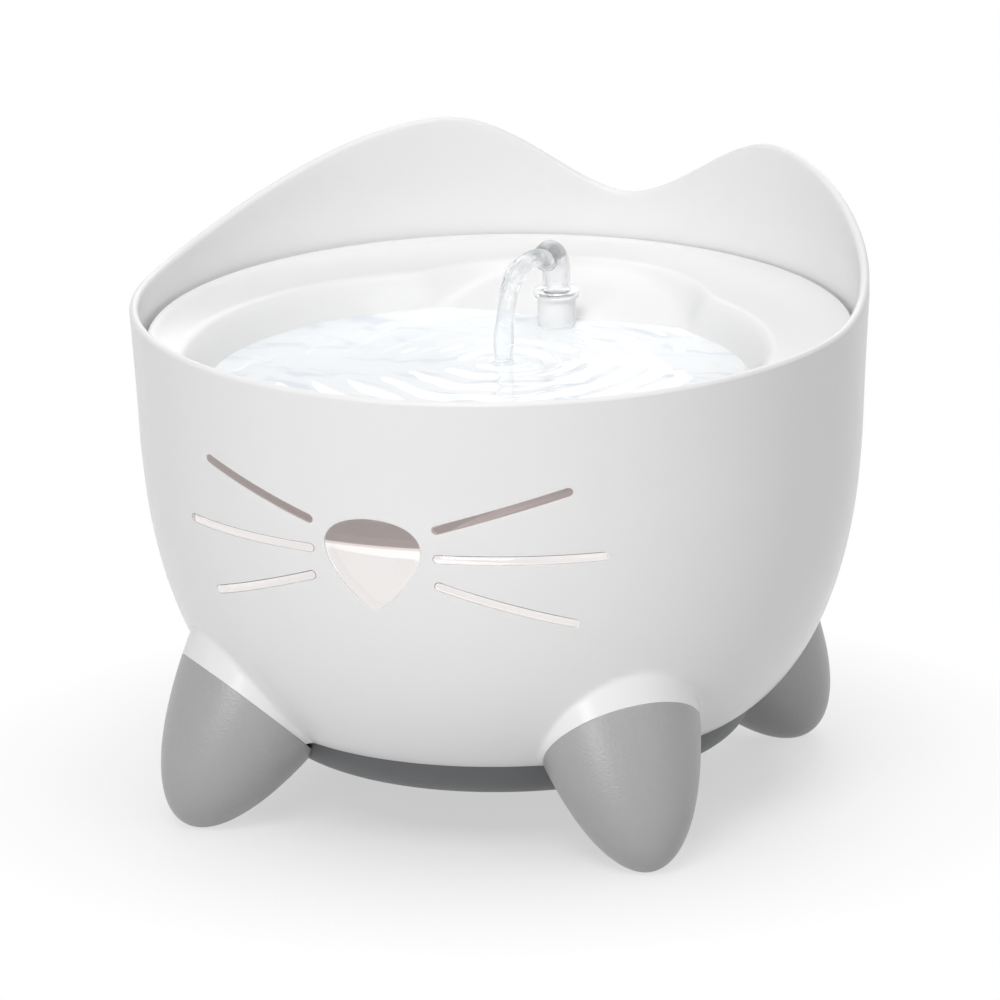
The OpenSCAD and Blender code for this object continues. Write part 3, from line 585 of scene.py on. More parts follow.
def ring_tree():
    """Copies of a piece in a ring about the upright axis."""
    tree = geometry_tree("Ring of copies", [
        ("Count", "NodeSocketInt", 4), ("First angle", "NodeSocketFloat", 0.0),
        ("Step angle", "NodeSocketFloat", math.pi / 2)])
    w = Wiring(tree)
    gin, gout = w.ends()
    points = w.node("GeometryNodePoints", {"Count": gin.outputs["Count"]})
    index = w.node("GeometryNodeInputIndex").outputs[0]
    steps = w.math("MULTIPLY", index, gin.outputs["Step angle"])
    angle = w.math("ADD", steps, gin.outputs["First angle"])
    turn = w.node("ShaderNodeCombineXYZ", {"Z": angle})
    rotation = w.node("FunctionNodeEulerToRotation", {0: turn.outputs[0]})
    copies = w.node("GeometryNodeInstanceOnPoints", {
        "Points": points.outputs[0], "Instance": gin.outputs["Geometry"],
        "Rotation": rotation.outputs[0]})
    finish_tree(w, gin, gout, copies.outputs[0])
    return tree


def grid_tree():
    """Copies of a piece in rows and columns."""
    tree = geometry_tree("Grid of copies", [
        ("Columns", "NodeSocketInt", 5), ("Rows", "NodeSocketInt", 3),
        ("Pitch", "NodeSocketFloat", 0.008)])
    w = Wiring(tree)
    gin, gout = w.ends()
    width, depth = (
        w.math("MULTIPLY", w.math("SUBTRACT", gin.outputs[side], 1.0), gin.outputs["Pitch"])
        for side in ("Columns", "Rows"))
    grid = w.node("GeometryNodeMeshGrid", {
        "Size X": width, "Size Y": depth,
        "Vertices X": gin.outputs["Columns"], "Vertices Y": gin.outputs["Rows"]})
    copies = w.node("GeometryNodeInstanceOnPoints", {
        "Points": grid.outputs[0], "Instance": gin.outputs["Geometry"]})
    finish_tree(w, gin, gout, copies.outputs[0])
    return tree


def sweep_tree():
    """Round strand along a path; the path's own radius attribute scales it."""
    tree = geometry_tree("Round strand", [
        ("Radius", "NodeSocketFloat", 0.001), ("Sides", "NodeSocketInt", 8)])
    w = Wiring(tree)
    gin, gout = w.ends()
    curve = w.node("GeometryNodeMeshToCurve", {"Mesh": gin.outputs["Geometry"]})
    scale = w.node("GeometryNodeInputNamedAttribute", {"Name": "swell"}, data_type="FLOAT")
    profile = w.node("GeometryNodeCurvePrimitiveCircle", {
        "Resolution": gin.outputs["Sides"], "Radius": gin.outputs["Radius"]})
    sized = w.node("GeometryNodeSetCurveRadius", {
        "Curve": curve.outputs[0], "Radius": scale.outputs["Attribute"]})
    sweep = w.node("GeometryNodeCurveToMesh", {
        "Curve": sized.outputs[0], "Profile Curve": profile.outputs[0], "Fill Caps": True})
    if "Scale" in sweep.inputs:
        tree.links.new(scale.outputs["Attribute"], sweep.inputs["Scale"])
    soft = w.node("GeometryNodeSetShadeSmooth", {0: sweep.outputs[0], "Shade Smooth": True})
    finish_tree(w, gin, gout, soft.outputs[0])
    return tree


def granule_tree():
    """Short rods scattered over the input's faces, none closer than the spacing."""
    tree = geometry_tree("Granule bed", [
        ("Pellet radius", "NodeSocketFloat", 0.0011), ("Pellet length", "NodeSocketFloat", 0.0028),
        ("Spacing", "NodeSocketFloat", 0.0021), ("Seed", "NodeSocketInt", 7)])
    w = Wiring(tree)
    gin, gout = w.ends()
    spots = w.node("GeometryNodeDistributePointsOnFaces", {
        "Mesh": gin.outputs["Geometry"], "Distance Min": gin.outputs["Spacing"],
        "Density Max": 400000.0, "Seed": gin.outputs["Seed"]}, distribute_method="POISSON")
    pellet = w.node("GeometryNodeMeshCylinder", {
        "Vertices": 8, "Radius": gin.outputs["Pellet radius"],
        "Depth": gin.outputs["Pellet length"]})
    turn = w.node("FunctionNodeRandomValue", {
        "Min": (1.15, -0.35, 0.0), "Max": (1.95, 0.35, 6.283), "Seed": gin.outputs["Seed"]},
        data_type="FLOAT_VECTOR")
    size = w.node("FunctionNodeRandomValue", {2: 0.75, 3: 1.1, "Seed": gin.outputs["Seed"]},
                  data_type="FLOAT")
    rotation = w.node("FunctionNodeEulerToRotation", {0: turn.outputs["Value"]})
    copies = w.node("GeometryNodeInstanceOnPoints", {
        "Points": spots.outputs["Points"], "Instance": pellet.outputs["Mesh"],
        "Rotation": rotation.outputs[0], "Scale": size.outputs[1]})
    finish_tree(w, gin, gout, copies.outputs[0])
    return tree


def ripple_tree():
    """Rings that run out from where the stream lands, over a slow swell."""
    tree = geometry_tree("Water ripples", [
        ("Height", "NodeSocketFloat", 0.0003), ("Spacing", "NodeSocketFloat", 0.011),
        ("Landing", "NodeSocketVector", (0.0, 0.0, 0.0))])
    w = Wiring(tree)
    gin, gout = w.ends()
    place = w.node("GeometryNodeInputPosition").outputs[0]
    flat = w.vector("MULTIPLY", place, (1.0, 1.0, 0.0))
    away = w.vector("DISTANCE", flat, gin.outputs["Landing"])
    turns = w.math("MULTIPLY", w.math("DIVIDE", away, gin.outputs["Spacing"]), 2 * math.pi)
    noise = w.node("ShaderNodeTexNoise", {"Vector": flat, "Scale": 26.0, "Detail": 2.0})
    bent = w.math("ADD", turns, w.math("MULTIPLY", noise.outputs[0], 9.0))
    fade = w.math("POWER", 0.5, w.math("DIVIDE", away, 0.035))
    rings = w.math("MULTIPLY", w.math("SINE", bent), w.math("ADD", fade, 0.16))
    swell = w.math("MULTIPLY", w.math("SUBTRACT", noise.outputs[0], 0.5), 2.2)
    total = w.math("MULTIPLY", w.math("ADD", rings, swell), gin.outputs["Height"])
    mask = w.node("GeometryNodeInputNamedAttribute", {"Name": "surface"}, data_type="FLOAT")
    lift = w.node("ShaderNodeCombineXYZ", {
        "Z": w.math("MULTIPLY", total, mask.outputs["Attribute"])})
    moved = w.node("GeometryNodeSetPosition", {
        "Geometry": gin.outputs["Geometry"], "Offset": lift.outputs[0]})
    finish_tree(w, gin, gout, moved.outputs[0])
    return tree


# ---------------------------------------------------------------- finishes

def moulded_group():
    """Colour, roughness and fine height that vary over a moulded or cut surface."""
    tree = bpy.data.node_groups.new("Moulded surface", "ShaderNodeTree")
    for label, kind, default in (
            ("Colour", "NodeSocketColor", (0.8, 0.8, 0.8, 1.0)),
            ("Mottle", "NodeSocketFloat", 0.02), ("Mottle scale", "NodeSocketFloat", 25.0),
            ("Roughness", "NodeSocketFloat", 0.3), ("Roughness spread", "NodeSocketFloat", 0.05),
            ("Grain scale", "NodeSocketFloat", 900.0)):
        socket = tree.interface.new_socket(label, in_out="INPUT", socket_type=kind)
        socket.default_value = default
    for label, kind in (("Colour", "NodeSocketColor"), ("Roughness", "NodeSocketFloat"),
                        ("Height", "NodeSocketFloat")):
        tree.interface.new_socket(label, in_out="OUTPUT", socket_type=kind)
    w = Wiring(tree)
    gin, gout = w.ends()
    place = w.place()

    def noise(scale, detail):
        return w.node("ShaderNodeTexNoise", {
            "Vector": place, "Scale": scale, "Detail": detail}).outputs[0]

    def swing(value, width):
        """A noise about its middle, times a width."""
        return w.math("MULTIPLY", w.math("SUBTRACT", value, 0.5), width)

    cloud = noise(gin.outputs["Mottle scale"], 3.0)
    bright = w.math("ADD", swing(cloud, gin.outputs["Mottle"]), 1.0)
    smear = noise(w.math("MULTIPLY", gin.outputs["Mottle scale"], 2.3), 4.0)
    rough = w.math("ADD", gin.outputs["Roughness"],
                   swing(smear, gin.outputs["Roughness spread"]))
    fine, slow = noise(gin.outputs["Grain scale"], 2.0), noise(18.0, 1.0)
    height = w.math("ADD", fine, w.math("MULTIPLY", slow, 0.6))
    tree.links.new(w.scaled(gin.outputs["Colour"], bright), gout.inputs["Colour"])
    tree.links.new(rough, gout.inputs["Roughness"])
    tree.links.new(height, gout.inputs["Height"])
    return tree


def new_material(name):
    material = bpy.data.materials.new(name)
    material.use_nodes = True
    material.node_tree.nodes.clear()
    return material, Wiring(material.node_tree)


def surface_nodes(w, tint, mottle, mottle_scale, roughness, spread, grain_scale, grain):
    """The shared surface in one material: its colour, roughness and bumped normal."""
    surface = w.node("ShaderNodeGroup", node_tree=bpy.data.node_groups["Moulded surface"])
    for key, value in (("Colour", (*tint, 1.0)), ("Mottle", mottle),
                       ("Mottle scale", mottle_scale), ("Roughness", roughness),
                       ("Roughness spread", spread), ("Grain scale", grain_scale)):
        surface.inputs[key].default_value = value
    bump = w.node("ShaderNodeBump", {
        "Strength": 1.0, "Distance": grain, "Height": surface.outputs["Height"]})
    return {"Base Color": surface.outputs["Colour"],
            "Roughness": surface.outputs["Roughness"], "Normal": bump.outputs[0]}


def moulded(name, tint, mottle, mottle_scale, roughness, spread, grain_scale, grain, **sockets):
    """Plastic, rubber or metal with the shared surface variation."""
    material, w = new_material(name)
    shader = w.node("ShaderNodeBsdfPrincipled", surface_nodes(
        w, tint, mottle, mottle_scale, roughness, spread, grain_scale, grain))
    for key, value in sockets.items():
        shader.inputs[key.replace("_", " ")].default_value = value
    w.node("ShaderNodeOutputMaterial", {"Surface": shader.outputs[0]})
    material.diffuse_color = (*tint, 1.0)
    return material


def painted_ripple_shade(w, shader, base, ripple_shade_tint):
    """Painted shade: a second, darker tint in long bands, for the far sides of ripples."""
    where = w.node("ShaderNodeMapping", {
        0: w.place(), 2: (0.0, 0.0, -0.35), 3: (26.0, 66.0, 1.0)})
    wavy = w.node("ShaderNodeTexNoise", {
        "Vector": where.outputs[0], "Scale": 1.0, "Detail": 2.5, "Distortion": 1.6})
    shade_streak = w.ramp(wavy.outputs[0], 0.5, 0.68, kind="SMOOTHSTEP")
    w.tree.links.new(w.tones(shade_streak, base, ripple_shade_tint), shader.inputs["Base Color"])


def painted_shade_above(w, shader, base, height, dark, painted_glow):
    """Painted shade over a height: a darker tint there, with a painted glow for the light scattered
    in the plate.
    """
    over = w.ramp(w.parts(w.place())[2], height - TINT_EDGE, height + TINT_EDGE)
    w.tree.links.new(w.tones(over, base, dark), shader.inputs["Base Color"])
    w.emit(shader, w.scaled(painted_glow, over), 1.0)


def painted_shade_rim(w, shader, base, tint):
    """Painted shade: a darker tint where the mesh's rim attribute is 1, for the dark ring that
    total internal reflection makes at the spout's mouth.
    """
    edge = w.node("ShaderNodeAttribute", attribute_name="rim").outputs["Fac"]
    w.tree.links.new(w.tones(edge, base, tint), shader.inputs["Base Color"])


def painted_glow_in_front(w, shader, base, line, strength):
    """Painted glow that makes the water look milky and lit, on upright faces in front, up to the
    line; the tint there turns grey.
    """
    place = w.place()
    _, y, z = w.parts(place)
    front = w.ramp(y, GLOW_FRONT_Y + 0.012, GLOW_FRONT_Y)
    high = w.ramp(z, GLOW_LOW_Z - 0.01, GLOW_LOW_Z + 0.006)
    facing = w.parts(w.node("ShaderNodeNewGeometry").outputs["Normal"])
    upright = w.ramp(w.math("ABSOLUTE", facing[2]), 0.6, 0.9, 1.0, 0.0)
    shape = w.math("MULTIPLY", w.math("MULTIPLY", front, high), upright)
    cloud = w.node("ShaderNodeTexNoise", {"Vector": place, "Scale": 22.0}).outputs[0]
    below = w.ramp(z, line - TINT_EDGE, line + TINT_EDGE, 1.0, 0.0)
    lit = w.math("MULTIPLY", w.math("MULTIPLY", shape, below),
                 w.math("ADD", 0.88, w.math("MULTIPLY", cloud, 0.2)))
    # Where the glow is painted, the water's tint turns grey.
    w.tree.links.new(w.tones(shape, base, grey(110)), shader.inputs["Base Color"])
    w.emit(shader, w.scaled(GLOW_TONE, lit), strength)


def clear(name, tint, ior, roughness, wave, wave_scale, shadow, thin=0.0, look=None):
    """Clear plastic or water: refracts, and lets a tinted light through in shadow.

    thin is the share that isn't bent at all; look is one of the functions above,
    with its own values, and changes the plain tint with painted shade and painted glow.
    """
    material, w = new_material(name)
    surface = surface_nodes(w, tint, 0.02, 40.0, roughness, 0.02, wave_scale, wave)
    shader = w.node("ShaderNodeBsdfPrincipled", {
        **surface, "Transmission Weight": 1.0, "IOR": ior, "Metallic": 0.0})
    if look:
        change, *values = look
        change(w, shader, surface["Base Color"], *values)
    see = w.node("ShaderNodeBsdfTransparent", {0: (*shadow, 1.0)})
    shadow_ray = w.node("ShaderNodeLightPath").outputs["Is Shadow Ray"]
    mix = w.node("ShaderNodeMixShader", {
        0: w.math("MAXIMUM", shadow_ray, thin), 1: shader.outputs[0], 2: see.outputs[0]})
    w.node("ShaderNodeOutputMaterial", {"Surface": mix.outputs[0]})
    material.diffuse_color = (*tint, 0.4)
    return material


def sponge(name, tint, cell_scale, depth, sheen):
    """Open cells or felted fibres, cut into the colour and the height."""
    material, w = new_material(name)
    place = w.place()
    bent = w.node("ShaderNodeTexNoise", {
        "Vector": place, "Scale": cell_scale * 0.4, "Detail": 3.0})
    path = w.vector("ADD", place, w.scaled(bent.outputs[1], 0.8 / cell_scale))
    cells = w.node("ShaderNodeTexVoronoi", {
        "Vector": path, "Scale": cell_scale}).outputs["Distance"]
    tinted = w.scaled(tint, w.ramp(cells, 0.1, 0.8, 1.1, 0.55))
    bump = w.node("ShaderNodeBump", {
        "Strength": 1.0, "Distance": depth, "Height": w.math("SUBTRACT", 1.0, cells)})
    shader = w.node("ShaderNodeBsdfPrincipled", {
        "Base Color": tinted, "Roughness": 0.92, "Normal": bump.outputs[0],
        "Sheen Weight": sheen})
    w.node("ShaderNodeOutputMaterial", {"Surface": shader.outputs[0]})
    material.diffuse_color = (*tint, 1.0)
    return material


def make_finishes(scene):
    """All finishes, by the name of the thing that wears them."""
    moulded_group()
    tank, feet, dish = scene.fountain_tank, scene.fountain_feet, scene.fountain_dish
    spout, parts, pump = scene.fountain_spout, scene.fountain_filter, scene.fountain_pump
    water = scene.fountain_water

    # Tint, mottle and its scale, roughness and its spread, grain scale, grain height
    moulded("Gloss white shell", tuple(tank.shell_colour), 0.012, 12.0, 0.26, 0.05, 60.0,
            tank.grain, Specular_IOR_Level=0.25, IOR=1.5)
    moulded("White dish", tuple(dish.dish_colour), 0.012, 14.0, 0.26, 0.06, 70.0, 0.000005,
            Specular_IOR_Level=0.3, IOR=1.5)
    moulded("Satin grey foot", tuple(feet.foot_colour), 0.04, 60.0, 0.34, 0.08, 1300.0,
            feet.foot_grain, IOR=1.5, Specular_IOR_Level=0.8)
    # The base's darker grey is painted shade; its plastic is the feet's.
    moulded("Grey base", tuple(feet.base_shaded_colour), 0.05, 40.0, 0.45, 0.08, 1200.0, 0.000015)
    moulded("Dark pump plastic", tuple(pump.housing_colour),
            0.08, 60.0, 0.38, 0.1, 1300.0, 0.00002)
    moulded("Dial plastic", grey(128), 0.05, 60.0, 0.35, 0.08, 1100.0, 0.000015)
    moulded("Light plastic", tuple(parts.tray_colour), 0.03, 40.0, 0.34, 0.08, 900.0, 0.00001)
    moulded("Soft rubber", (0.05, 0.05, 0.053), 0.1, 80.0, 0.62, 0.1, 1800.0, 0.00002)
    moulded("Pale silicone", grey(232), 0.05, 60.0, 0.5, 0.08, 900.0, 0.00001)
    moulded("Turned steel", (0.62, 0.62, 0.63), 0.08, 90.0, 0.24, 0.12, 2600.0, 0.000004,
            Metallic=1.0)
    moulded("Steel laminations", (0.36, 0.36, 0.38), 0.18, 400.0, 0.42, 0.15, 2000.0, 0.00002,
            Metallic=1.0)
    moulded("Enamelled copper", (0.72, 0.32, 0.12), 0.12, 300.0, 0.28, 0.1, 1500.0, 0.000005,
            Metallic=1.0, Coat_Weight=0.6)
    moulded("Ferrite magnet", (0.045, 0.045, 0.05), 0.2, 200.0, 0.5, 0.15, 2200.0, 0.00003)
    moulded("Circuit board", (0.03, 0.22, 0.09), 0.15, 300.0, 0.3, 0.1, 900.0, 0.00001)
    moulded("Carbon granule", tuple(parts.granule_colour),
            0.35, 600.0, 0.62, 0.2, 2600.0, 0.00006)

    # Tint, refraction, roughness, wave height, wave scale, tint of the shadow
    window_tint = tuple(tank.window_colour)
    # The window gets a painted shade and a painted glow above the tank's water.
    clear("Smoke window", window_tint, 1.49, 0.05, 0.000004, 80.0, window_tint,
          look=(painted_shade_above, water.tank_z, tuple(tank.window_painted_shade), tuple(tank.window_painted_glow)))
    # The spout's mouth gets a painted shade: a grey tint on its rim.
    clear("Clear spout", tuple(spout.tint), 1.49, 0.03, 0.000006, 120.0, (0.97, 0.973, 0.978),
          thin=0.3, look=(painted_shade_rim, grey(150)))
    clear("Clear tube", (0.9, 0.91, 0.92), 1.43, 0.12, 0.000008, 200.0, (0.8, 0.82, 0.83))
    # The pool gets painted shade in long bands, for the far sides of its ripples.
    clear("Dish water", tuple(water.pool_tint), 1.333, 0.02, 0.000004, 60.0,
          (0.86, 0.87, 0.88), look=(painted_ripple_shade, tuple(water.ripple_shade_tint)))
    clear("Falling water", tuple(water.tint), 1.333, 0.02, 0.00002, 260.0, (0.95, 0.96, 0.97),
          thin=0.3)
    # The tank's water gets a painted glow on its front faces, below its level.
    clear("Tank water", tuple(water.tint), 1.333, 0.03, 0.000004, 60.0, (0.95, 0.96, 0.97),
          look=(painted_glow_in_front, water.tank_z, water.glow))

    # Tint, cells to the metre, depth, sheen
    sponge("Felted fleece", tuple(parts.fleece_colour), 900.0, 0.0004, 0.4)
    sponge("Intake foam", tuple(pump.foam_colour), 650.0, 0.0008, 0.1)


CAD_FINISHES = {
    "Soft rubber": ("cord_grommet", "suction_cups"),
    "Pale silicone": ("spout_seal",),
    "Light plastic": ("filter_tray", "filter_frame", "impeller"),
    "Clear tube": ("riser_tube", "led_lens"),
    "Dark pump plastic": ("pump_body", "pump_end_cap", "pump_cover", "strainer_cover",
                          "rear_shaft_bush", "front_shaft_bush"),
    "Dial plastic": ("flow_dial",),
    "Turned steel": ("impeller_shaft",),
    "Steel laminations": ("stator_core",),
    "Ferrite magnet": ("rotor_magnet",),
    "Circuit board": ("led_board",),
}


def finish(name):
    return bpy.data.materials[name]


# ---------------------------------------------------------------- tank shape

def belly_radius(z):
    t = np.clip((SHOULDER_Z - z) / (SHOULDER_Z - BELLY_Z), 0.0, 0.9999)
    return SHOULDER_R * (1 - t ** BELLY_POWER) ** (1 / BELLY_ROOT)


def wall_radius(z):
    """Outside radius of the tank: belly, shoulder and flared rim in one curve."""
    z = np.asarray(z, float)
    u = np.clip((z - FLARE_FROM_Z) / (RIM_Z - FLARE_FROM_Z), 0.0, 1.0)
    return belly_radius(z) + FLARE * u ** FLARE_POWER


def from_foot(theta):
    """Signed angle from the nearest foot, for feet at the four diagonals."""
    return np.mod(theta, math.pi / 2) - math.pi / 4


def wall_field(points):
    """Distance, nearly, outwards from the tank's wall."""
    z = points[:, 2]
    slope = (wall_radius(z + 0.05) - wall_radius(z - 0.05)) / 0.1
    return (np.hypot(points[:, 0], points[:, 1]) - wall_radius(z)) / np.sqrt(1 + slope ** 2)


def foot_frame(points):
    """Place in the upright plane of the nearest foot: outwards, sideways, up."""
    theta = np.arctan2(points[:, 1], points[:, 0])
    r, turn = np.hypot(points[:, 0], points[:, 1]), from_foot(theta)
    return r * np.cos(turn), r * np.sin(turn), points[:, 2], np.sin(theta) > 0


def foot_field(points):
    """Distance, nearly, outwards from the nearest foot's leaning ellipsoid."""
    out, side, z, rear = foot_frame(points)
    u, w = out - FOOT_TIP[0] + np.where(rear, REAR_SHIFT, 0.0), z - FOOT_TIP[1]
    along = w * math.cos(FOOT_LEAN) - u * math.sin(FOOT_LEAN)
    across = np.maximum(u * u + side * side + w * w - along * along, 0.0)
    gap = across - FOOT_GROW * along * (1 - along / FOOT_LENGTH)
    return gap / np.sqrt(4 * across + (FOOT_GROW * (1 - 2 * along / FOOT_LENGTH)) ** 2)


def shell_field(points, blend):
    """Distance, nearly, from wall and ankles joined with a soft crease."""
    return soft_min(wall_field(points), foot_field(points), blend)


def field_slope(points, blend):
    """Gradient of the shell's field by small steps."""
    out = np.zeros_like(points)
    for axis in range(3):
        step = np.zeros(3)
        step[axis] = 0.02
        ahead, behind = shell_field(points + step, blend), shell_field(points - step, blend)
        out[:, axis] = (ahead - behind) / 0.04
    return out


def soft_max(a, b, k):
    """The larger of two heights, blended over a width k where they meet."""
    h = np.maximum(k - np.abs(a - b), 0.0) / k
    return np.maximum(a, b) + h ** 3 * k / 6


def soft_min(a, b, k):
    return -soft_max(-np.asarray(a), -np.asarray(b), k)


def ear_height(theta):
    """Height of the top edge; the back is at theta = 90 degrees."""
    a = np.degrees(np.abs((theta - math.pi / 2 + math.pi) % (2 * math.pi) - math.pi))

    def ease(u):
        return (1 - np.cos(math.pi * u)) / 2

    inner = RIM_Z + EAR_DIP + (EAR_RISE - EAR_DIP) * ease(np.clip(a / EAR_ANGLE, 0, 1) ** 0.9)
    run = np.clip((a - EAR_ANGLE) / (EAR_FOOT_ANGLE - EAR_ANGLE), 0, 1)
    outer = RIM_Z + EAR_RISE * (1 - ease(run ** 0.85))
    return np.where(a < EAR_ANGLE, inner, outer)


def shell_columns():
    """Angles of the mesh columns, closer over the feet and the ear tips."""
    quarter = np.concatenate([
        np.arange(22) * 1.2, 26.4 + np.arange(62) * 0.6, 63.6 + np.arange(22) * 1.2])
    return np.radians(np.concatenate([quarter + 90 * k for k in range(4)]))


def ring_at(theta, radius, z):
    """Ring about the axis, with one radius and height or one for each angle."""
    radius, z = np.broadcast_to(radius, theta.shape), np.broadcast_to(z, theta.shape)
    return np.stack([radius * np.cos(theta), radius * np.sin(theta), z], 1)


def make_shell_mesh(s):
    """The tank's closed shell without its ankles, before its windows are cut."""
    wall, edge = s.wall / MM, s.seam_round / MM
    theta = shell_columns()
    high = ear_height(theta)
    lip = wall / 2
    rings = [np.array([[0, 0, BOTTOM_Z]]), ring_at(theta, 40.0, BOTTOM_Z)]
    rings.append(ring_at(theta, float(wall_radius(BOTTOM_Z)) - edge - 0.4, BOTTOM_Z))
    for k in range(4):
        t = math.pi / 2 * k / 3
        z = BOTTOM_Z + edge * (1 - math.cos(t))
        rings.append(ring_at(theta, wall_radius(z) - edge * (1 - math.sin(t)), z))
    z0, z1 = BOTTOM_Z + edge, high - lip
    for k in range(1, 33):
        z = z0 + (CREASE_TOP_Z - z0) * k / 32
        rings.append(ring_at(theta, wall_radius(z), z))
    for k in range(1, 52):
        z = CREASE_TOP_Z + (z1 - CREASE_TOP_Z) * k / 52
        rings.append(ring_at(theta, wall_radius(z), z))
    top_r = wall_radius(z1)
    for k in range(11):
        t = math.pi * k / 10
        rings.append(ring_at(theta, top_r - lip + lip * math.cos(t), z1 + lip * math.sin(t)))
    for k in range(1, 13):
        z = z1 + (LEDGE_Z - z1) * (k / 12)
        rings.append(ring_at(theta, wall_radius(z) - wall, z))
    inner = wall_radius(LEDGE_Z) - wall
    for r, z in round_corners(
            [(inner, LEDGE_Z), (LEDGE_R, LEDGE_Z), (LEDGE_R, LEDGE_Z - LEDGE_T),
             (float(wall_radius(LEDGE_FOOT_Z)) - wall, LEDGE_FOOT_Z)], 0.4, 3, closed=False)[1:]:
        rings.append(ring_at(theta, r, z))
    for z in np.linspace(132.5, CORNER_TOP_Z, 14):
        rings.append(ring_at(theta, wall_radius(z) - wall, z))
    corner_r = float(wall_radius(FLOOR_Z)) - wall
    corner = round_corners(
        [(float(wall_radius(CORNER_TOP_Z)) - wall, CORNER_TOP_Z), (corner_r, FLOOR_Z),
         (40, FLOOR_Z)], CORNER_R, 6, closed=False)
    for r, z in corner[1:]:
        rings.append(ring_at(theta, r, z))
    rings.append(np.array([[0, 0, FLOOR_Z]]))
    return skin("tank_shell", rings, sharp=40)


def leaning_form(name, shift, around, rows, power):
    """A foot's whole ellipsoid from its tip up into the tank, on the side of +X."""
    axis = np.array([-math.sin(FOOT_LEAN), 0, math.cos(FOOT_LEAN)])
    side = np.array([math.cos(FOOT_LEAN), 0, math.sin(FOOT_LEAN)])
    tip = np.array([FOOT_TIP[0] - shift, 0, FOOT_TIP[1]])
    turn = np.arange(around) * 2 * math.pi / around
    rings = [tip[None]]
    for k in range(1, rows + 1):
        at = FOOT_REACH * (k / rows) ** power
        r = math.sqrt(FOOT_GROW * at * (1 - at / FOOT_LENGTH))
        rings.append(tip + axis * at + r * (np.cos(turn)[:, None] * side
                                            + np.sin(turn)[:, None] * np.array([0, 1.0, 0])))
    rings.append((tip + axis * FOOT_REACH)[None])
    return skin(name, rings)


def seam_slab(name, gap, above):
    """Block on one side of the seam plane between foot and ankle."""
    plane = (math.cos(SEAM_SLOPE), 0, math.sin(SEAM_SLOPE))
    up = np.array([-math.sin(SEAM_SLOPE), 0, math.cos(SEAM_SLOPE)])
    return slab(name, (SEAM_R, 0, BOTTOM_Z - gap), plane, (0, 1, 0), up if above else -up, 180)


def round_edges(obj, width):
    """Round the edges that cutting has left."""
    bevel = obj.modifiers.new("edge", "BEVEL")
    bevel.width = width
    bevel.segments = 2
    bevel.limit_method = "ANGLE"
    bevel.angle_limit = math.radians(38)
    bevel.harden_normals = False
    return smooth(bake(obj), 45)


def make_ankle(s, name, shift, first):
    """Two of the ankles that the feet run on into."""
    ankle = leaning_form(name, shift, 144, 96, 1.25)
    combine(ankle, [seam_slab("under", 0.0, False),
                    slab("floor", (100, 0, BOTTOM_Z + 0.1), (1, 0, 0), (0, 1, 0), (0, 0, -1), 180)])
    round_edges(tidy(ankle), s.seam_round)
    middle = s.wall / MM / 2
    core = [(float(wall_radius(z)) - middle, z) for z in np.linspace(20.0, 100.0, 60)]
    combine(ankle, [lathe("core", [(0, 20.0), *core, (0, 100.0)], 256)])
    return ring_of(ankle, 2, first)


def mesh_points(obj):
    """A mesh's points in millimetres."""
    co = np.zeros(len(obj.data.vertices) * 3)
    obj.data.vertices.foreach_get("co", co)
    return co.reshape(-1, 3) / MM


def soften_creases(obj, s):
    """Round the crease between belly and ankles; the seam's edge keeps its place."""
    blend = s.ankle_blend / MM
    old = mesh_points(obj)
    out, _, z, _ = foot_frame(old)
    above = (z - BOTTOM_Z) * math.cos(SEAM_SLOPE) - (out - SEAM_R) * math.sin(SEAM_SLOPE)
    on = np.abs(np.minimum(wall_field(old), foot_field(old))) < 0.05
    fade = np.where(on, np.clip(above / 2.0, 0.0, 1.0), 0.0)
    new = old.copy()
    for _ in range(3):
        slope = field_slope(new, blend)
        new -= slope * (shell_field(new, blend) / np.maximum((slope ** 2).sum(1), 0.1))[:, None]
    new = old + (new - old) * fade[:, None]
    obj.data.vertices.foreach_set("co", (new * MM).ravel())
    obj.data.update()


def surface_y(x, z):
    """Front surface of the wall at a place in the front view."""
    return -np.sqrt(np.maximum(wall_radius(z) ** 2 - x * x, 1.0))


def whisker_outline(side, whisker, n=26):
    """Spine of one whisker slot and its outward directions in the plane (x, z)."""
    a = np.array([side * WHISKER_IN_X, whisker[0]])
    b = np.array([side * whisker[1], whisker[2]])
    along = (b - a) / np.linalg.norm(b - a)
    across = np.array([-along[1], along[0]])
    points, out = [], []
    for k in range(n):
        points.append(a + (b - a) * k / n)
        out.append(-across)
    for k in range(12):
        t = math.pi * k / 12
        points.append(b)
        out.append(-across * math.cos(t) + along * math.sin(t))
    for k in range(n):
        points.append(b + (a - b) * k / n)
        out.append(across)
    for k in range(12):
        t = math.pi * k / 12
        points.append(a)
        out.append(across * math.cos(t) - along * math.sin(t))
    return np.array(points), np.array(out)


def nose_outline(n=120):
    """The nose's outline and its outward normals in the plane (x, z)."""
    t = np.arange(n) * 2 * math.pi / n
    pts = np.stack([NOSE_HALF_W * np.sin(t) * (1 + 0.5 * np.cos(t)),
                    NOSE_MID_Z + NOSE_HALF_H * np.cos(t)], 1)
    ahead = np.roll(pts, -1, 0) - np.roll(pts, 1, 0)
    out = np.stack([-ahead[:, 1], ahead[:, 0]], 1)
    return pts, out / np.linalg.norm(out, axis=1)[:, None]


def on_surface(flat, depth):
    """Points of the front view laid on the wall, at a depth from its surface."""
    return np.stack([flat[:, 0], surface_y(flat[:, 0], flat[:, 1]) + depth, flat[:, 1]], 1)


def face_rings(shape, steps):
    """Rings of a cutter or boss: each step is (offset outwards, depth from the surface)."""
    points, out = shape
    return [on_surface(points + out * offset, depth) for offset, depth in steps]


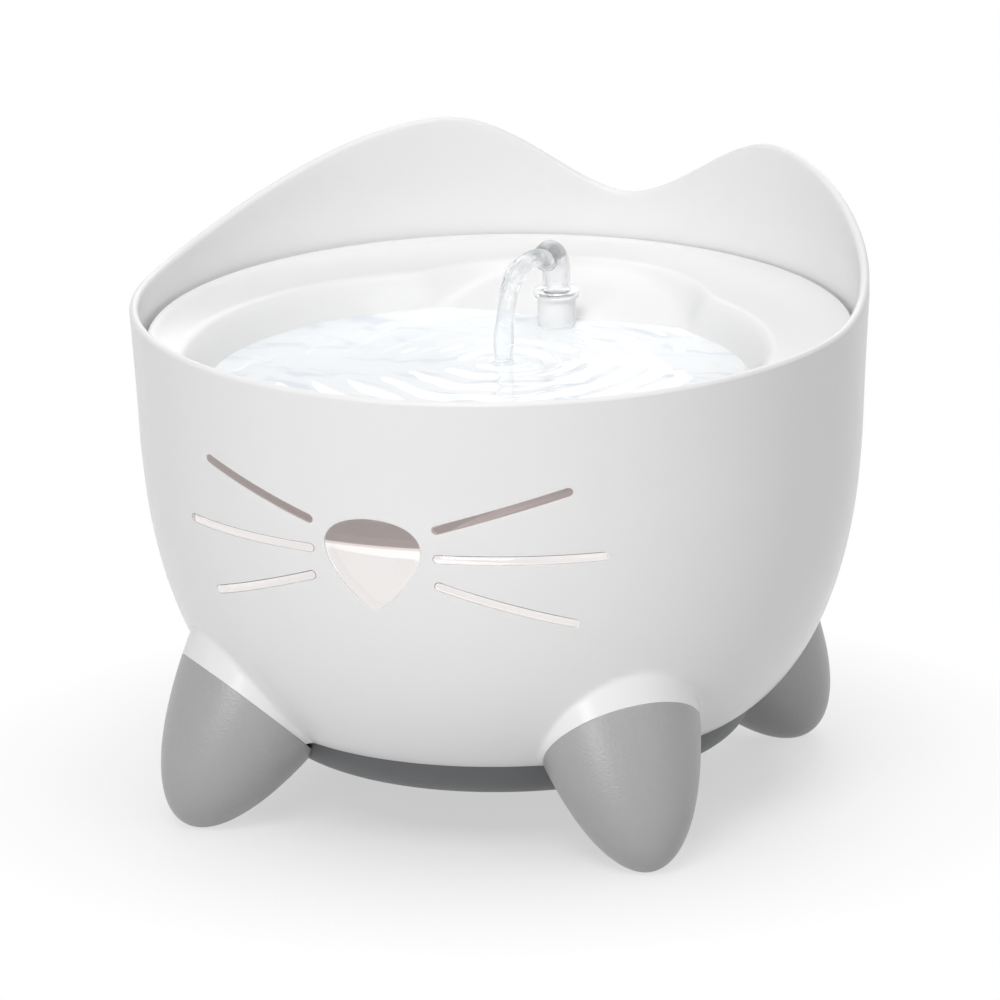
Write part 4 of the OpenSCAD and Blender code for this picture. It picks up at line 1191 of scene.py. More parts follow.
def face_shapes():
    """(name, outline, half width) of the nose and the six whiskers."""
    shapes = [("nose", nose_outline(), 0.0)]
    for i, whisker in enumerate(WHISKERS):
        for side in (-1, 1):
            outline = whisker_outline(side, whisker)
            shapes.append((f"whisker_{i}_{side}", outline, WHISKER_W / 2))
    return shapes


def make_face_cutters(s):
    """Cutters for the nose and the whiskers, which also round the outer edges."""
    soft = s.cutout_round / MM
    cutters = []
    for name, shape, half in face_shapes():
        steps = [(half + soft * 1.15, -4.0), (half + soft * 1.15, -0.5)]
        for k in range(6):
            t = math.radians(12 + 78 * k / 5)
            steps.append((half + soft * (1 - math.sin(t)), soft * (1 - math.cos(t))))
        steps += [(half, 2.0), (half, 4.0), (half, 9.0)]
        if half:
            rings = face_rings(shape, [(0.0, steps[0][1]), *steps, (0.0, steps[-1][1])])
        else:
            rings = face_rings(shape, steps)
            rings = [rings[0].mean(0)[None], *rings, rings[-1].mean(0)[None]]
        cutters.append(skin(f"cut_{name}", rings))
    return cutters


def analytic_normals(obj, s):
    """Set the outer surface's own normals, which the cutting has disturbed."""
    mesh = obj.data
    blend = s.ankle_blend / MM
    points = mesh_points(obj)
    wall, foot = wall_field(points), foot_field(points)
    soft = shell_field(points, blend)
    creased = np.abs(wall - foot) < blend
    on = (np.minimum(wall, foot) > -0.02) & (soft < 0.03) & (soft > -blend / 6 - 0.03)
    theta = np.arctan2(points[:, 1], points[:, 0])
    on &= points[:, 2] < ear_height(theta) - s.wall / MM / 2 + 0.01
    normal = field_slope(points, blend)
    normal /= np.maximum(np.linalg.norm(normal, axis=1), 1e-6)[:, None]
    loops = len(mesh.loops)
    vert = np.zeros(loops, int)
    mesh.loops.foreach_get("vertex_index", vert)
    face_normal = np.zeros(len(mesh.polygons) * 3)
    mesh.polygons.foreach_get("normal", face_normal)
    face_normal = face_normal.reshape(-1, 3)
    total = np.zeros(len(mesh.polygons), int)
    mesh.polygons.foreach_get("loop_total", total)
    owner = np.repeat(np.arange(len(total)), total)
    alike = np.einsum("ij,ij->i", face_normal[owner], normal[vert])
    use = on[vert] & (alike > np.where(creased[vert], 0.8, 0.97))
    custom = np.where(use[:, None], normal[vert], 0.0)
    mesh.normals_split_custom_set(custom.tolist())


def screw_places():
    """Centres of the four screws, at the feet's angles."""
    return [(SCREW_R * math.cos(a), SCREW_R * math.sin(a)) for a in np.radians(FOOT_ANGLES)]


def build_tank(scene):
    s = scene.fountain_tank
    shell = make_shell_mesh(s)
    extra = [make_ankle(s, f"ankle_{name}", shift, first) for name, shift, first in FOOT_PAIRS]
    for x, y in screw_places():
        extra.append(rod("boss", BOSS_R, BOSS_FOOT_Z, BOTTOM_Z + 1, x, y, bevel=0.4))
    combine(shell, extra, "UNION")
    soften_creases(shell, s)
    cuts = make_face_cutters(s)
    hole = rod("gland_hole", GLAND_R, -20, 20, n=48)
    hole.data.transform(Matrix.Rotation(math.radians(90), 4, "X"))
    hole.data.transform(Matrix.Translation((0, GLAND_Y * MM, GLAND_Z * MM)))
    cuts.append(hole)
    for x, y in screw_places():
        cuts.append(rod("thread", THREAD_R, 20.0, THREAD_TOP_Z, x, y, n=16))
    combine(shell, cuts, sharp=40)
    analytic_normals(shell, s)
    finish_piece(shell, "tank", "white_shell", finish("Gloss white shell"), "bowl_shell")


def curved_plate(name, front, back):
    """Closed plate between two grids of points, front and back."""
    nz, nx = front.shape[:2]
    points = np.concatenate([front.reshape(-1, 3), back.reshape(-1, 3)])

    def at(layer, j, i):
        return layer * nz * nx + j * nx + i

    faces = []
    for j in range(nz - 1):
        for i in range(nx - 1):
            faces.append((at(0, j, i), at(0, j, i + 1), at(0, j + 1, i + 1), at(0, j + 1, i)))
            faces.append((at(1, j, i), at(1, j + 1, i), at(1, j + 1, i + 1), at(1, j, i + 1)))
    rim = ([(0, i) for i in range(nx)] + [(j, nx - 1) for j in range(1, nz)]
           + [(nz - 1, i) for i in range(nx - 2, -1, -1)] + [(j, 0) for j in range(nz - 2, 0, -1)])
    for k, (j, i) in enumerate(rim):
        j2, i2 = rim[(k + 1) % len(rim)]
        faces.append((at(0, j, i), at(1, j, i), at(1, j2, i2), at(0, j2, i2)))
    return tidy(new_object(name, points, faces))


def make_bosses(wall, gap):
    """Clear bosses that fill the nose and the whiskers up to the surface."""
    bosses = []
    for name, shape, half in face_shapes():
        steps = [(half - gap - 0.2, gap), (half - gap - 0.06, gap + 0.06), (half - gap, gap + 0.2),
                 (half - gap, wall + gap + 0.8)]
        if half:
            rings = face_rings(shape, [(0.0, gap), *steps, (0.0, steps[-1][1])])
        else:
            rings = face_rings(shape, steps)
            mid = np.array([0.0, NOSE_MID_Z])
            inner = [on_surface(mid + (shape[0] - mid) * k * 0.97, gap)
                     for k in (0.25, 0.5, 0.75, 0.9)]
            rings = [on_surface(mid[None], gap), *inner, *rings, rings[-1].mean(0)[None]]
        bosses.append(skin(f"boss_{name}", rings))
    return bosses


def build_window(scene):
    s = scene.fountain_tank
    wall, gap, plate_t = s.wall / MM, s.window_gap / MM, s.window_plate / MM
    grid_x, grid_z = np.meshgrid(np.linspace(-WINDOW_HALF_W, WINDOW_HALF_W, 91),
                                 np.linspace(WINDOW_LOW_Z, WINDOW_HIGH_Z, 31))

    def sheet_at(inset):
        r = wall_radius(grid_z) - inset
        return np.stack([grid_x, -np.sqrt(r * r - grid_x ** 2), grid_z], 2)

    window = curved_plate(
        "face_window_clear", sheet_at(wall + gap), sheet_at(wall + gap + plate_t))
    combine(window, make_bosses(wall, gap), "UNION", sharp=40)
    finish_piece(window, "tank", "clear_window", finish("Smoke window"), "face_window")


# ---------------------------------------------------------------- feet and base

def slab(name, origin, along, across, up, reach):
    """Block that starts at a plane and runs up from it."""
    o, a, b, n = (np.array(v, float) for v in (origin, along, across, up))
    pts = []
    for w in (0.0, reach):
        for u, v in ((-1, -1), (1, -1), (1, 1), (-1, 1)):
            pts.append(o + a * u * reach + b * v * reach + n * w)
    faces = [(0, 3, 2, 1), (4, 5, 6, 7), (0, 1, 5, 4), (1, 2, 6, 5), (2, 3, 7, 6), (3, 0, 4, 7)]
    return tidy(new_object(name, pts, faces))


def base_profile(grow, steps=24):
    """Side of the base cover from its flat bottom to the seam."""
    return [(BASE_R + (BASE_EDGE_R - BASE_R + grow) * math.sin(a),
             BASE_Z - grow + (BOTTOM_Z - BASE_Z + grow) * (1 - math.cos(a)))
            for a in (math.pi / 2 * k / steps for k in range(steps + 1))]


def build_feet(scene):
    s = scene.fountain_feet
    gap = s.seam_gap / MM
    belly = [(0, BASE_Z - gap)] + base_profile(gap)[:-1]
    belly += [(float(wall_radius(z)) + gap, z) for z in np.linspace(BOTTOM_Z - 0.1, 80, 40)]
    belly.append((0, 80))
    for name, shift, first in FOOT_PAIRS:
        foot = leaning_form(f"feet_{name}", shift, 112, 72, 1.6)
        combine(foot, [
            seam_slab("over", gap, True),
            slab("under", (100, 0, 0), (1, 0, 0), (0, 1, 0), (0, 0, -1), 180),
            lathe("belly", belly, 256)])
        round_edges(tidy(foot), s.edge_round)
        ring_of(foot, 2, first, finish("Satin grey foot"))
        finish_piece(foot, "tank", "grey_foot", finish("Satin grey foot"),
                     f"foot_{name}_left", f"foot_{name}_right")


def build_base():
    inner_rise = BOTTOM_Z - BASE_Z - BASE_WALL
    inner = [(BASE_R + (BASE_EDGE_R - BASE_R - BASE_WALL) * math.sin(a),
              BASE_Z + BASE_WALL + inner_rise * (1 - math.cos(a)))
             for a in (math.pi / 2 * (1 - k / 16) for k in range(17))]
    edge = [(BASE_EDGE_R, BOTTOM_Z - 0.25), (BASE_EDGE_R - 0.25, BOTTOM_Z - 0.02),
            (BASE_EDGE_R - BASE_WALL + 0.25, BOTTOM_Z - 0.02)]
    cover = lathe("base_cover_grey", [(0, BASE_Z), (40, BASE_Z)] + base_profile(0.0)[:-1] + edge
                  + inner[1:] + [(0, BASE_Z + BASE_WALL)], 192)
    cuts = []
    for x, y in screw_places():
        cuts.append(rod("recess", RECESS_R, BASE_Z - 1, BASE_Z + RECESS_DEPTH, x, y))
        cuts.append(rod("clear", SCREW_HOLE_R, BASE_Z - 1, BASE_Z + BASE_WALL + 1, x, y))
    combine(cover, cuts)
    finish_piece(cover, "tank", "grey_base", finish("Grey base"), "base_cover")
    screw = lathe("base_screw_set", round_corners(
        [(0, 15.85), (3.0, 15.85), (3.0, 17.4), (1.45, 17.4), (1.45, 26.2), (0, 26.6)],
        [0, 0.35, 0.1, 0, 0.3, 0], 3, closed=False), 32, (SCREW_R, 0.0))
    combine(screw, [rod("socket", 1.3, 15.0, 16.8, SCREW_R, 0.0, n=6)])
    ring_of(screw, 4, 45, finish("Turned steel"))
    finish_piece(screw, "tank", "steel", finish("Turned steel"), "base_screws")


# ---------------------------------------------------------------- dish and spout

def bowl_side(distance, flat, full, rise, last):
    """Quarter ellipse that runs on as a straight slope above its last share."""
    u = np.clip((distance - flat) / (full - flat), 0.0, None)
    low = np.minimum(u, last)
    return BASIN_Z + rise * (1 - np.sqrt(1 - low ** 2) + last / np.sqrt(1 - last ** 2) * (u - low))


def dish_floor(x, y):
    """The basin with its rear ramp, on upwards past the deck."""
    depth = DISH_Z - 0.4 - BASIN_Z
    spare = ray_length(np.arctan2(y - BASIN_Y, x), DISH_R) - BASIN_R - 2.8
    last = 0.985 - 0.085 * np.clip(spare / 10.0, 0.0, 1.0)
    basin = bowl_side(np.hypot(x, y - BASIN_Y), BASIN_FLOOR_R, BASIN_R, depth, last)
    rear = bowl_side(np.hypot(x, y - RAMP_Y), 24.0, RAMP_R - 0.6, depth + 2, 0.9)
    ramp = BASIN_Z + (y - RAMP_FOOT_Y) * (DECK_Z - BASIN_Z) / (RAMP_Y + RAMP_R - RAMP_FOOT_Y)
    return soft_max(soft_min(basin, rear, 9.0), ramp, 9.0)


def dish_deck(x, y):
    """The shallow deck around the basin, up to the dish's rim."""
    centre = np.hypot(x, y)
    return np.where(centre < DECK_IN_R, DECK_Z - 1.4 * (1 - centre / DECK_IN_R),
                    DECK_Z + 0.6 * (centre - DECK_IN_R) / 1.6)


def dish_height(x, y, shoulder):
    """Top surface of the dish: the basin let into its deck."""
    return soft_min(dish_floor(x, y), dish_deck(x, y), shoulder)


def first_crossing(phi, full, height):
    """Distance along each ray from the basin's middle to where a height turns positive."""
    reach = full[:, None] * np.linspace(0, 1, 500)
    value = height(reach * np.cos(phi)[:, None], BASIN_Y + reach * np.sin(phi)[:, None])
    row = np.arange(len(phi))
    k = np.argmax(value > 0, axis=1)
    k = np.where(k == 0, reach.shape[1] - 1, k)
    a, b = value[row, k - 1], value[row, k]
    return reach[row, k - 1] + np.clip(a / (a - b), 0, 1) * (reach[row, k] - reach[row, k - 1])


def ray_length(phi, radius):
    """Distance from the basin's middle to a circle about the axis."""
    along = BASIN_Y * np.sin(phi)
    return -along + np.sqrt(along ** 2 - BASIN_Y ** 2 + radius ** 2)


def build_dish(scene):
    s = scene.fountain_dish
    wall, shoulder, round_r = s.wall / MM, s.shoulder / MM, s.rim_round / MM
    phi = np.arange(256) * 2 * math.pi / 256

    def place(reach):
        return reach * np.cos(phi), BASIN_Y + reach * np.sin(phi)

    top = ray_length(phi, DISH_R - round_r)
    bend = first_crossing(phi, top, lambda x, y: dish_floor(x, y) - dish_deck(x, y))
    bend = np.convolve(np.concatenate([bend[-4:], bend, bend[:4]]), np.ones(9) / 9, "valid")

    def rows_to(last, counts):
        """Distances of the rings: even, close over the shoulder, then even again."""
        past = np.minimum(bend + np.minimum(6.0, (top - bend) * 0.6), last - 0.3)
        marks = [bend * 0, bend - 10, past, last]
        return [marks[i] + (marks[i + 1] - marks[i]) * k / n
                for i, n in enumerate(counts) for k in range(1, n + 1)]

    rings = [np.array([[0, BASIN_Y, BASIN_Z]])]
    for reach in rows_to(top, (46, 26, 14)):
        x, y = place(reach)
        rings.append(np.stack([x, y, dish_height(x, y, shoulder)], 1))
    edge_z = rings[-1][:, 2].copy()
    for k in range(1, 6):
        t = math.pi / 2 * k / 5
        x, y = place(ray_length(phi, DISH_R - round_r * (1 - math.sin(t))))
        rings.append(np.stack([x, y, edge_z - round_r * (1 - math.cos(t))], 1))
    for r, z in ((DISH_R, 145.0), (DISH_R, LEDGE_Z + 0.3), (DISH_R - 0.3, LEDGE_Z),
                 (DISH_R - 2.5, LEDGE_Z), (DISH_R - 2.8, LEDGE_Z + 0.3)):
        x, y = place(ray_length(phi, r))
        rings.append(np.stack([x, y, np.full(256, z)], 1))
    under = rows_to(ray_length(phi, DISH_R - 2.8), (24, 26, 8))[::-1]
    for k, reach in enumerate(under):
        x, y = place(reach)
        z = dish_height(x, y, shoulder) - wall
        rings.append(np.stack([x, y, np.maximum(z - 0.5, LEDGE_Z + 1.0) if k == 0 else z], 1))
    rings.append(np.array([[0, BASIN_Y, BASIN_Z - wall]]))
    dish = skin("dish_white", rings, sharp=50)
    column = round_corners(
        [(0, TUBE_FOOT_Z), (TUBE_R, TUBE_FOOT_Z), (TUBE_R, TOWER_FOOT_Z), (TOWER_R, TOWER_FOOT_Z),
         (TOWER_R, TOWER_Z), (0, TOWER_Z)], [0, 0.5, 0, 0, 0.45, 0], 4, closed=False)
    tower = lathe("tower", column, 64, (0, SPOUT_Y))
    (r0, r1), (z0, z1) = COLLAR_R, COLLAR_Z
    ring = round_corners([(r0, z0), (r1, z0), (r1, z1), (r0, z1)], 0.4, 3)
    collar = lathe("collar", ring, 128, (0, FILTER_Y), loop=True)
    combine(dish, [tower, collar], "UNION", sharp=50)
    hole = rod("drain", s.drain_radius / MM, -4, 6, n=24)
    run_tree(hole, bpy.data.node_groups["Grid of copies"], None,
             columns=5, rows=3, pitch=s.drain_pitch)
    hole.data.transform(Matrix.Translation((0, DRAIN_Y * MM, DRAIN_Z * MM)))
    combine(dish, [hole, rod("channel", CHANNEL_R, 96, 145, 0, SPOUT_Y, n=48),
                   rod("bore", SOCKET_R, SOCKET_FOOT_Z, 152, 0, SPOUT_Y, n=64)], sharp=50)
    finish_piece(dish, "dish", "white_dish", finish("White dish"), "dish")


def spout_path(s, steps=26):
    """Centre line of the spout, with its direction, from the shank to the mouth."""
    bend, turn = s.bend_radius / MM, s.bend_turn
    out = [((0, SPOUT_Y, z), (0, 0, 1)) for z in (
        TOWER_Z - SHANK, TOWER_Z - 5, TOWER_Z, FLANGE_Z, 151.7, 153.0, 155.5, BEND_Z)]
    for k in range(1, steps + 1):
        a = turn * k / steps
        out.append(((0, SPOUT_Y - bend + bend * math.cos(a), BEND_Z + bend * math.sin(a)),
                    (0, -math.sin(a), math.cos(a))))
    end, ahead = np.array(out[-1][0]), np.array(out[-1][1])
    mouth = s.mouth / MM
    for k in (0.35, 0.7, 1.0):
        out.append((tuple(end + ahead * mouth * k), tuple(ahead)))
    return out


def build_spout(scene):
    s = scene.fountain_spout
    tube, bore, flange = s.tube_radius / MM, s.bore_radius / MM, s.flange_radius / MM
    n = 64
    a = np.arange(n) * 2 * math.pi / n

    def ring(place, ahead, radius):
        ahead = np.array(ahead, float)
        across = np.array([1.0, 0, 0])
        up = np.cross(ahead, across)
        return np.array(place) + radius * (np.cos(a)[:, None] * across + np.sin(a)[:, None] * up)

    path = spout_path(s)
    up = (0, 0, 1)
    rings = []
    low = TOWER_Z - SHANK
    for z, r in ((low, tube - 0.35), (low + 0.35, tube), (TOWER_Z - 4, tube)):
        rings.append(ring((0, SPOUT_Y, z), up, r))
    for over, r in ((0.04, tube + 0.02), (0.04, flange - 0.3), (0.12, flange - 0.09), (0.3, flange),
                    (1.1, flange), (1.38, flange - 0.1), (1.5, flange - 0.4), (1.5, tube + 0.7),
                    (1.7, tube + 0.2), (2.2, tube)):
        rings.append(ring((0, SPOUT_Y, FLANGE_Z + over), up, r))
    outer = [p for p in path if p[0][2] > FLANGE_Z + 2.3 or p[0][1] < SPOUT_Y - 0.01]
    for place, ahead in outer[:-1]:
        rings.append(ring(place, ahead, tube))
    end, ahead = np.array(outer[-1][0]), np.array(outer[-1][1])
    lip = (tube - bore) / 2
    for k in range(9):
        t = math.pi * k / 8
        rings.append(ring(end - ahead * (lip - lip * math.sin(t)), ahead,
                          bore + lip + lip * math.cos(t)))
    for place, ahead in reversed(path[:-2]):
        rings.append(ring(place, ahead, bore))
    rings.append(ring((0, SPOUT_Y, low), up, bore + 0.3))
    piece = skin("spout_clear", rings, loop=True, sharp=45)
    # The rim attribute marks the front of the mouth's end, where the painted shade goes.
    points = mesh_points(piece)
    share = np.clip(1 + (points - end) @ ahead / lip, 0, 1) * (points[:, 1] < SPOUT_Y)
    piece.data.attributes.new("rim", "FLOAT", "POINT").data.foreach_set("value", share)
    finish_piece(piece, "spout", "clear_spout", finish("Clear spout"), "spout")


# ---------------------------------------------------------------- filter and pump

def build_granules(s):
    """Two level discs, over which the granules are scattered."""
    discs, faces = [], []
    for z in BED_Z:
        start = len(discs)
        discs.append((0, FILTER_Y, z))
        for k in range(48):
            t = 2 * math.pi * k / 48
            discs.append((BED_R * math.cos(t), FILTER_Y + BED_R * math.sin(t), z))
        faces += [(start, start + 1 + k, start + 1 + (k + 1) % 48) for k in range(48)]
    bed = new_object("granule_bed", discs, faces)
    run_tree(bed, granule_tree(), finish("Carbon granule"), pellet_radius=s.pellet_radius,
             pellet_length=s.pellet_length, spacing=s.pellet_spacing, seed=s.pellet_seed)
    smooth(bed, 40)
    finish_piece(bed, "filter", "granules", finish("Carbon granule"), "filter_granules")


def build_fleece(s):
    """Crowned pad, with a slight wave on both faces."""
    (low, high), r = FLEECE_Z, FLEECE_R
    crown = s.fleece_crown / MM
    profile = [(0, low)] + [(r * k / 14, low) for k in range(1, 14)]
    profile += [(r - 1.2, low + 0.1), (r - 0.3, low + 0.9), (r, low + 2.2), (r, high - 2.6),
                (r - 0.4, high - 1.3), (r - 1.4, high - 0.5 - crown * 0.4)]
    profile += [(r * k / 14, high - crown * (k / 14) ** 6) for k in range(13, 0, -1)]
    pad = lathe("fleece_pad", [*profile, (0, high)], 96, (0, FILTER_Y), sharp=80)
    swing = 0.12
    for v in pad.data.vertices:
        p = v.co / MM
        wave = swing * math.sin(p.x * 0.9 + 1.3 * math.sin(p.y * 0.7)) * math.sin(p.y * 0.8)
        if p.z > low + 3:
            v.co.z = (p.z - swing + wave) * MM
        elif p.z < low + 0.05:
            v.co.z = (p.z + swing + wave) * MM
    finish_piece(pad, "filter", "fleece", finish("Felted fleece"), "filter_fleece")


def build_filter(scene):
    build_granules(scene.fountain_filter)
    build_fleece(scene.fountain_filter)


def winding_turn(grow):
    """One turn of the winding round its core, in the plane (x, z)."""
    half_x, half_z, corner = 7.1 + grow, 1.85 + grow, 0.5 + grow
    turn = []
    for cx, cz, start in ((half_x - corner, half_z - corner, 0),
                          (corner - half_x, half_z - corner, 90),
                          (corner - half_x, corner - half_z, 180),
                          (half_x - corner, corner - half_z, 270)):
        for k in range(4):
            t = math.radians(start + 30 * k)
            turn.append((cx + corner * math.cos(t), cz + corner * math.sin(t)))
    return turn


def build_winding(s):
    """Two layers of one wire, there and back."""
    wire, pitch = s.wire_radius / MM, s.wire_pitch / MM
    x0, y0, z0 = COIL_MIDDLE
    points = []
    for layer, way in enumerate((1, -1)):
        turn = winding_turn(0.12 + wire * (1 + 1.85 * layer))
        count = int(COIL_LENGTH / pitch) * len(turn)
        for k in range(count):
            along = -COIL_LENGTH / 2 + COIL_LENGTH * k / count
            x, z = turn[k % len(turn)]
            points.append((x0 + x, y0 + way * along, z0 + z))
    coil = strand("copper_winding", points, [1.0] * len(points))
    run_tree(coil, bpy.data.node_groups["Round strand"], finish("Enamelled copper"),
             radius=s.wire_radius, sides=6)
    smooth(coil, 70)
    finish_piece(coil, "tank", "copper", finish("Enamelled copper"), "stator_coil")


def build_foam():
    """Upright block with rounded edges and slightly bulged ends."""
    half_y, half_z = FOAM_HALF
    x0, x1 = FOAM_X
    outline = round_corners(
        [(-half_y, -half_z), (half_y, -half_z), (half_y, half_z), (-half_y, half_z)], 2.6, 5)
    flat = np.array([np.linspace(outline[k], outline[(k + 1) % len(outline)], 5)[:-1]
                     for k in range(len(outline))]).reshape(-1, 2)
    rings = []
    for inset, x in ((0.9, x0 + 0.05), (0.35, x0 + 0.25), (0.08, x0 + 0.8), (0.0, x0 + 2.5),
                     (0.0, 17.0), (0.0, x1 - 2.5), (0.08, x1 - 0.8), (0.35, x1 - 0.25),
                     (0.9, x1 - 0.05)):
        rings.append(np.stack([np.full(len(flat), x),
                               SPOUT_Y + flat[:, 0] * (1 - inset / half_y),
                               FOAM_Z + flat[:, 1] * (1 - inset / half_z)], 1))

    def face(ring, x, bulge):
        """Rings that close one end with a slight bulge."""
        out = []
        for k in (0.85, 0.6, 0.35):
            inner = (ring - [x, SPOUT_Y, FOAM_Z]) * k + [x, SPOUT_Y, FOAM_Z]
            inner[:, 0] = x + bulge * (1 - k)
            out.append(inner)
        return out

    first, last = face(rings[0], x0 + 0.05, -0.04), face(rings[-1], x1 - 0.05, 0.04)
    foam = skin("foam_block", [np.array([[x0, SPOUT_Y, FOAM_Z]]), *first[::-1], *rings, *last,
                               np.array([[x1, SPOUT_Y, FOAM_Z]])], sharp=80)
    finish_piece(foam, "strainer", "foam", finish("Intake foam"), "intake_foam")


def build_pump(scene):
    build_winding(scene.fountain_pump)
    build_foam()


def dress_cad():
    """Give the solids that stay their finishes."""
    for name, nodes in CAD_FINISHES.items():
        for node in nodes:
            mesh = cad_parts[node].data
            mesh.materials.clear()
            mesh.materials.append(finish(name))


# ---------------------------------------------------------------- water

def spline(points, steps):
    """Smooth path through points, with so many steps between two of them."""
    pts = np.array(points, float)
    pts = np.concatenate([[2 * pts[0] - pts[1]], pts, [2 * pts[-1] - pts[-2]]])
    out = []
    for i in range(1, len(pts) - 2):
        a, b, c, d = pts[i - 1:i + 3]
        for k in range(steps):
            t = k / steps
            out.append(0.5 * (2 * b + (c - a) * t + (2 * a - 5 * b + 4 * c - d) * t * t
                              + (3 * b - a - 3 * c + d) * t ** 3))
    out.append(pts[-2])
    return np.array(out)


def pool_mask(pool, phi, edge, level):
    """1 on the pool's surface, fading to 0 at its edge and 0 below."""
    phi, edge = np.append(phi, 2 * math.pi), np.append(edge, edge[0])
    values = []
    for v in pool.data.vertices:
        p = v.co / MM
        angle = math.atan2(p.y - BASIN_Y, p.x)
        edge_r = float(np.interp(angle % (2 * math.pi), phi, edge))
        inside = (edge_r - math.hypot(p.x, p.y - BASIN_Y)) / 4.0
        values.append(min(1.0, max(0.0, inside)) if p.z > level - 0.01 else 0.0)
    return values


def build_pool(s, shoulder):
    level, sink = s.pool_z / MM, s.sink / MM
    phi = np.arange(192) * 2 * math.pi / 192
    edge = first_crossing(phi, ray_length(phi, DISH_R - 2),
                          lambda x, y: dish_height(x, y, shoulder) - level - sink)
    rings = [np.array([[0, BASIN_Y, BASIN_Z - sink]])]
    for k in range(1, 48):
        r = edge * k / 48
        x, y = r * np.cos(phi), BASIN_Y + r * np.sin(phi)
        z = np.minimum(dish_height(x, y, shoulder) - sink, level - 0.02)
        rings.append(np.stack([x, y, z], 1))
    for k in range(96, 0, -1):
        r = edge * k / 96
        rings.append(np.stack(
            [r * np.cos(phi), BASIN_Y + r * np.sin(phi), np.full(192, level)], 1))
    rings.append(np.array([[0, BASIN_Y, level]]))
    pool = skin("dish_water", rings, sharp=60)
    mask = pool.data.attributes.new("surface", "FLOAT", "POINT")
    mask.data.foreach_set("value", pool_mask(pool, phi, edge, level))
    run_tree(pool, ripple_tree(), finish("Dish water"), height=s.ripple,
             spacing=s.ripple_pitch, landing=(0.0, STREAM_PATH[-1][0] * MM, 0.0))
    smooth(pool, 60)
    finish_piece(pool, "dish", None, finish("Dish water"))


def build_stream(s):
    """The falling stream, a little uneven and spread at its foot."""
    path = spline(STREAM_PATH, 8)
    size = []
    for k in range(len(path)):
        t = k / (len(path) - 1)
        foot = max(0.0, (t - 0.93) / 0.07)
        size.append(1.0 + 0.05 * math.sin(t * 17) + 0.04 * math.sin(t * 31 + 1) + 0.5 * foot ** 2)
    stream = strand("water_stream", [(0, y, z) for y, z in path], size)
    run_tree(stream, bpy.data.node_groups["Round strand"], finish("Falling water"),
             radius=s.stream_radius, sides=40)
    smooth(stream, 60)
    finish_piece(stream, "spout", None, finish("Falling water"))


def build_tank_water(s):
    """The store in the tank; it wets the wall and stops short of the window's plate."""
    top = (s.tank_z + s.unlit) / MM
    around = np.arange(160) * 2 * math.pi / 160
    from_front = np.abs(np.mod(around + math.pi / 2 + math.pi, 2 * math.pi) - math.pi)
    short = np.interp(from_front, np.radians(WATER_STEP_ANGLES), WATER_FROM_WALL)
    rings = [np.array([[0, 0, FLOOR_Z + 0.05]])]
    for z in np.concatenate([[FLOOR_Z + 0.05], np.linspace(36, top - 0.2, 30), [top]]):
        rings.append(ring_at(around, float(wall_radius(z)) - short, z))
    rings.append(np.array([[0, 0, top]]))
    finish_piece(skin("tank_water", rings), "tank", None, finish("Tank water"))


def build_water(scene):
    s = scene.fountain_water
    build_pool(s, scene.fountain_dish.shoulder / MM)
    build_stream(s)
    build_tank_water(s)


# ---------------------------------------------------------------- studio

def place_camera(scene, s):
    """The long lens that was fitted to the photo."""
    az, el = s.azimuth, s.elevation
    back = Vector((math.sin(az) * math.cos(el), -math.cos(az) * math.cos(el), math.sin(el)))
    right = Vector((math.cos(az), math.sin(az), 0))
    up = back.cross(right)
    side = right * math.cos(s.roll) + up * math.sin(s.roll)
    top = up * math.cos(s.roll) - right * math.sin(s.roll)
    aim = right * (AIM_RIGHT * MM) + Vector((0, 0, AIM_Z * MM))
    data = bpy.data.cameras.new("camera")
    data.lens = s.lens
    data.sensor_width = 36.0
    data.clip_end = 50.0
    camera = bpy.data.objects.new("camera", data)
    turn = Matrix((side, top, back)).transposed()
    camera.matrix_world = Matrix.Translation(aim + back * s.distance) @ turn.to_4x4()
    scene.collection.objects.link(camera)
    scene.camera = camera


def lay_floor(s):
    """Matt floor that fades into plain white away from the fountain."""
    floor = new_object("studio_floor", circle(4000, 0, 128), [tuple(range(128))])
    material, w = new_material("Studio floor")
    place = w.place()
    fade = w.ramp(w.vector("LENGTH", place), 0.085, 0.19, 0.55, 1.0)
    paper = w.node("ShaderNodeTexNoise", {"Vector": place, "Scale": 700.0}).outputs[0]
    bump = w.node("ShaderNodeBump", {"Distance": 0.00002, "Height": paper})
    matt = w.node("ShaderNodeBsdfPrincipled", {
        "Base Color": (*s.floor_colour, 1.0), "Roughness": 0.6, "Normal": bump.outputs[0]})
    white = w.node("ShaderNodeEmission", {0: (1, 1, 1, 1), 1: 1.0})
    mix = w.node("ShaderNodeMixShader", {
        0: w.math("MULTIPLY", fade, w.seen()), 1: matt.outputs[0], 2: white.outputs[0]})
    w.node("ShaderNodeOutputMaterial", {"Surface": mix.outputs[0]})
    floor.data.materials.append(material)


def make_sky(scene, s):
    """Even light, with a white backdrop where it is seen."""
    world = bpy.data.worlds.new("studio")
    scene.world = world
    world.use_nodes = True
    world.node_tree.nodes.clear()
    w = Wiring(world.node_tree)
    even = w.node("ShaderNodeBackground", {0: (1, 1, 1, 1), 1: s.sky})
    white = w.node("ShaderNodeBackground", {0: (1, 1, 1, 1), 1: 1.0})
    mix = w.node("ShaderNodeMixShader", {0: w.seen(), 1: even.outputs[0], 2: white.outputs[0]})
    w.node("ShaderNodeOutputWorld", {"Surface": mix.outputs[0]})


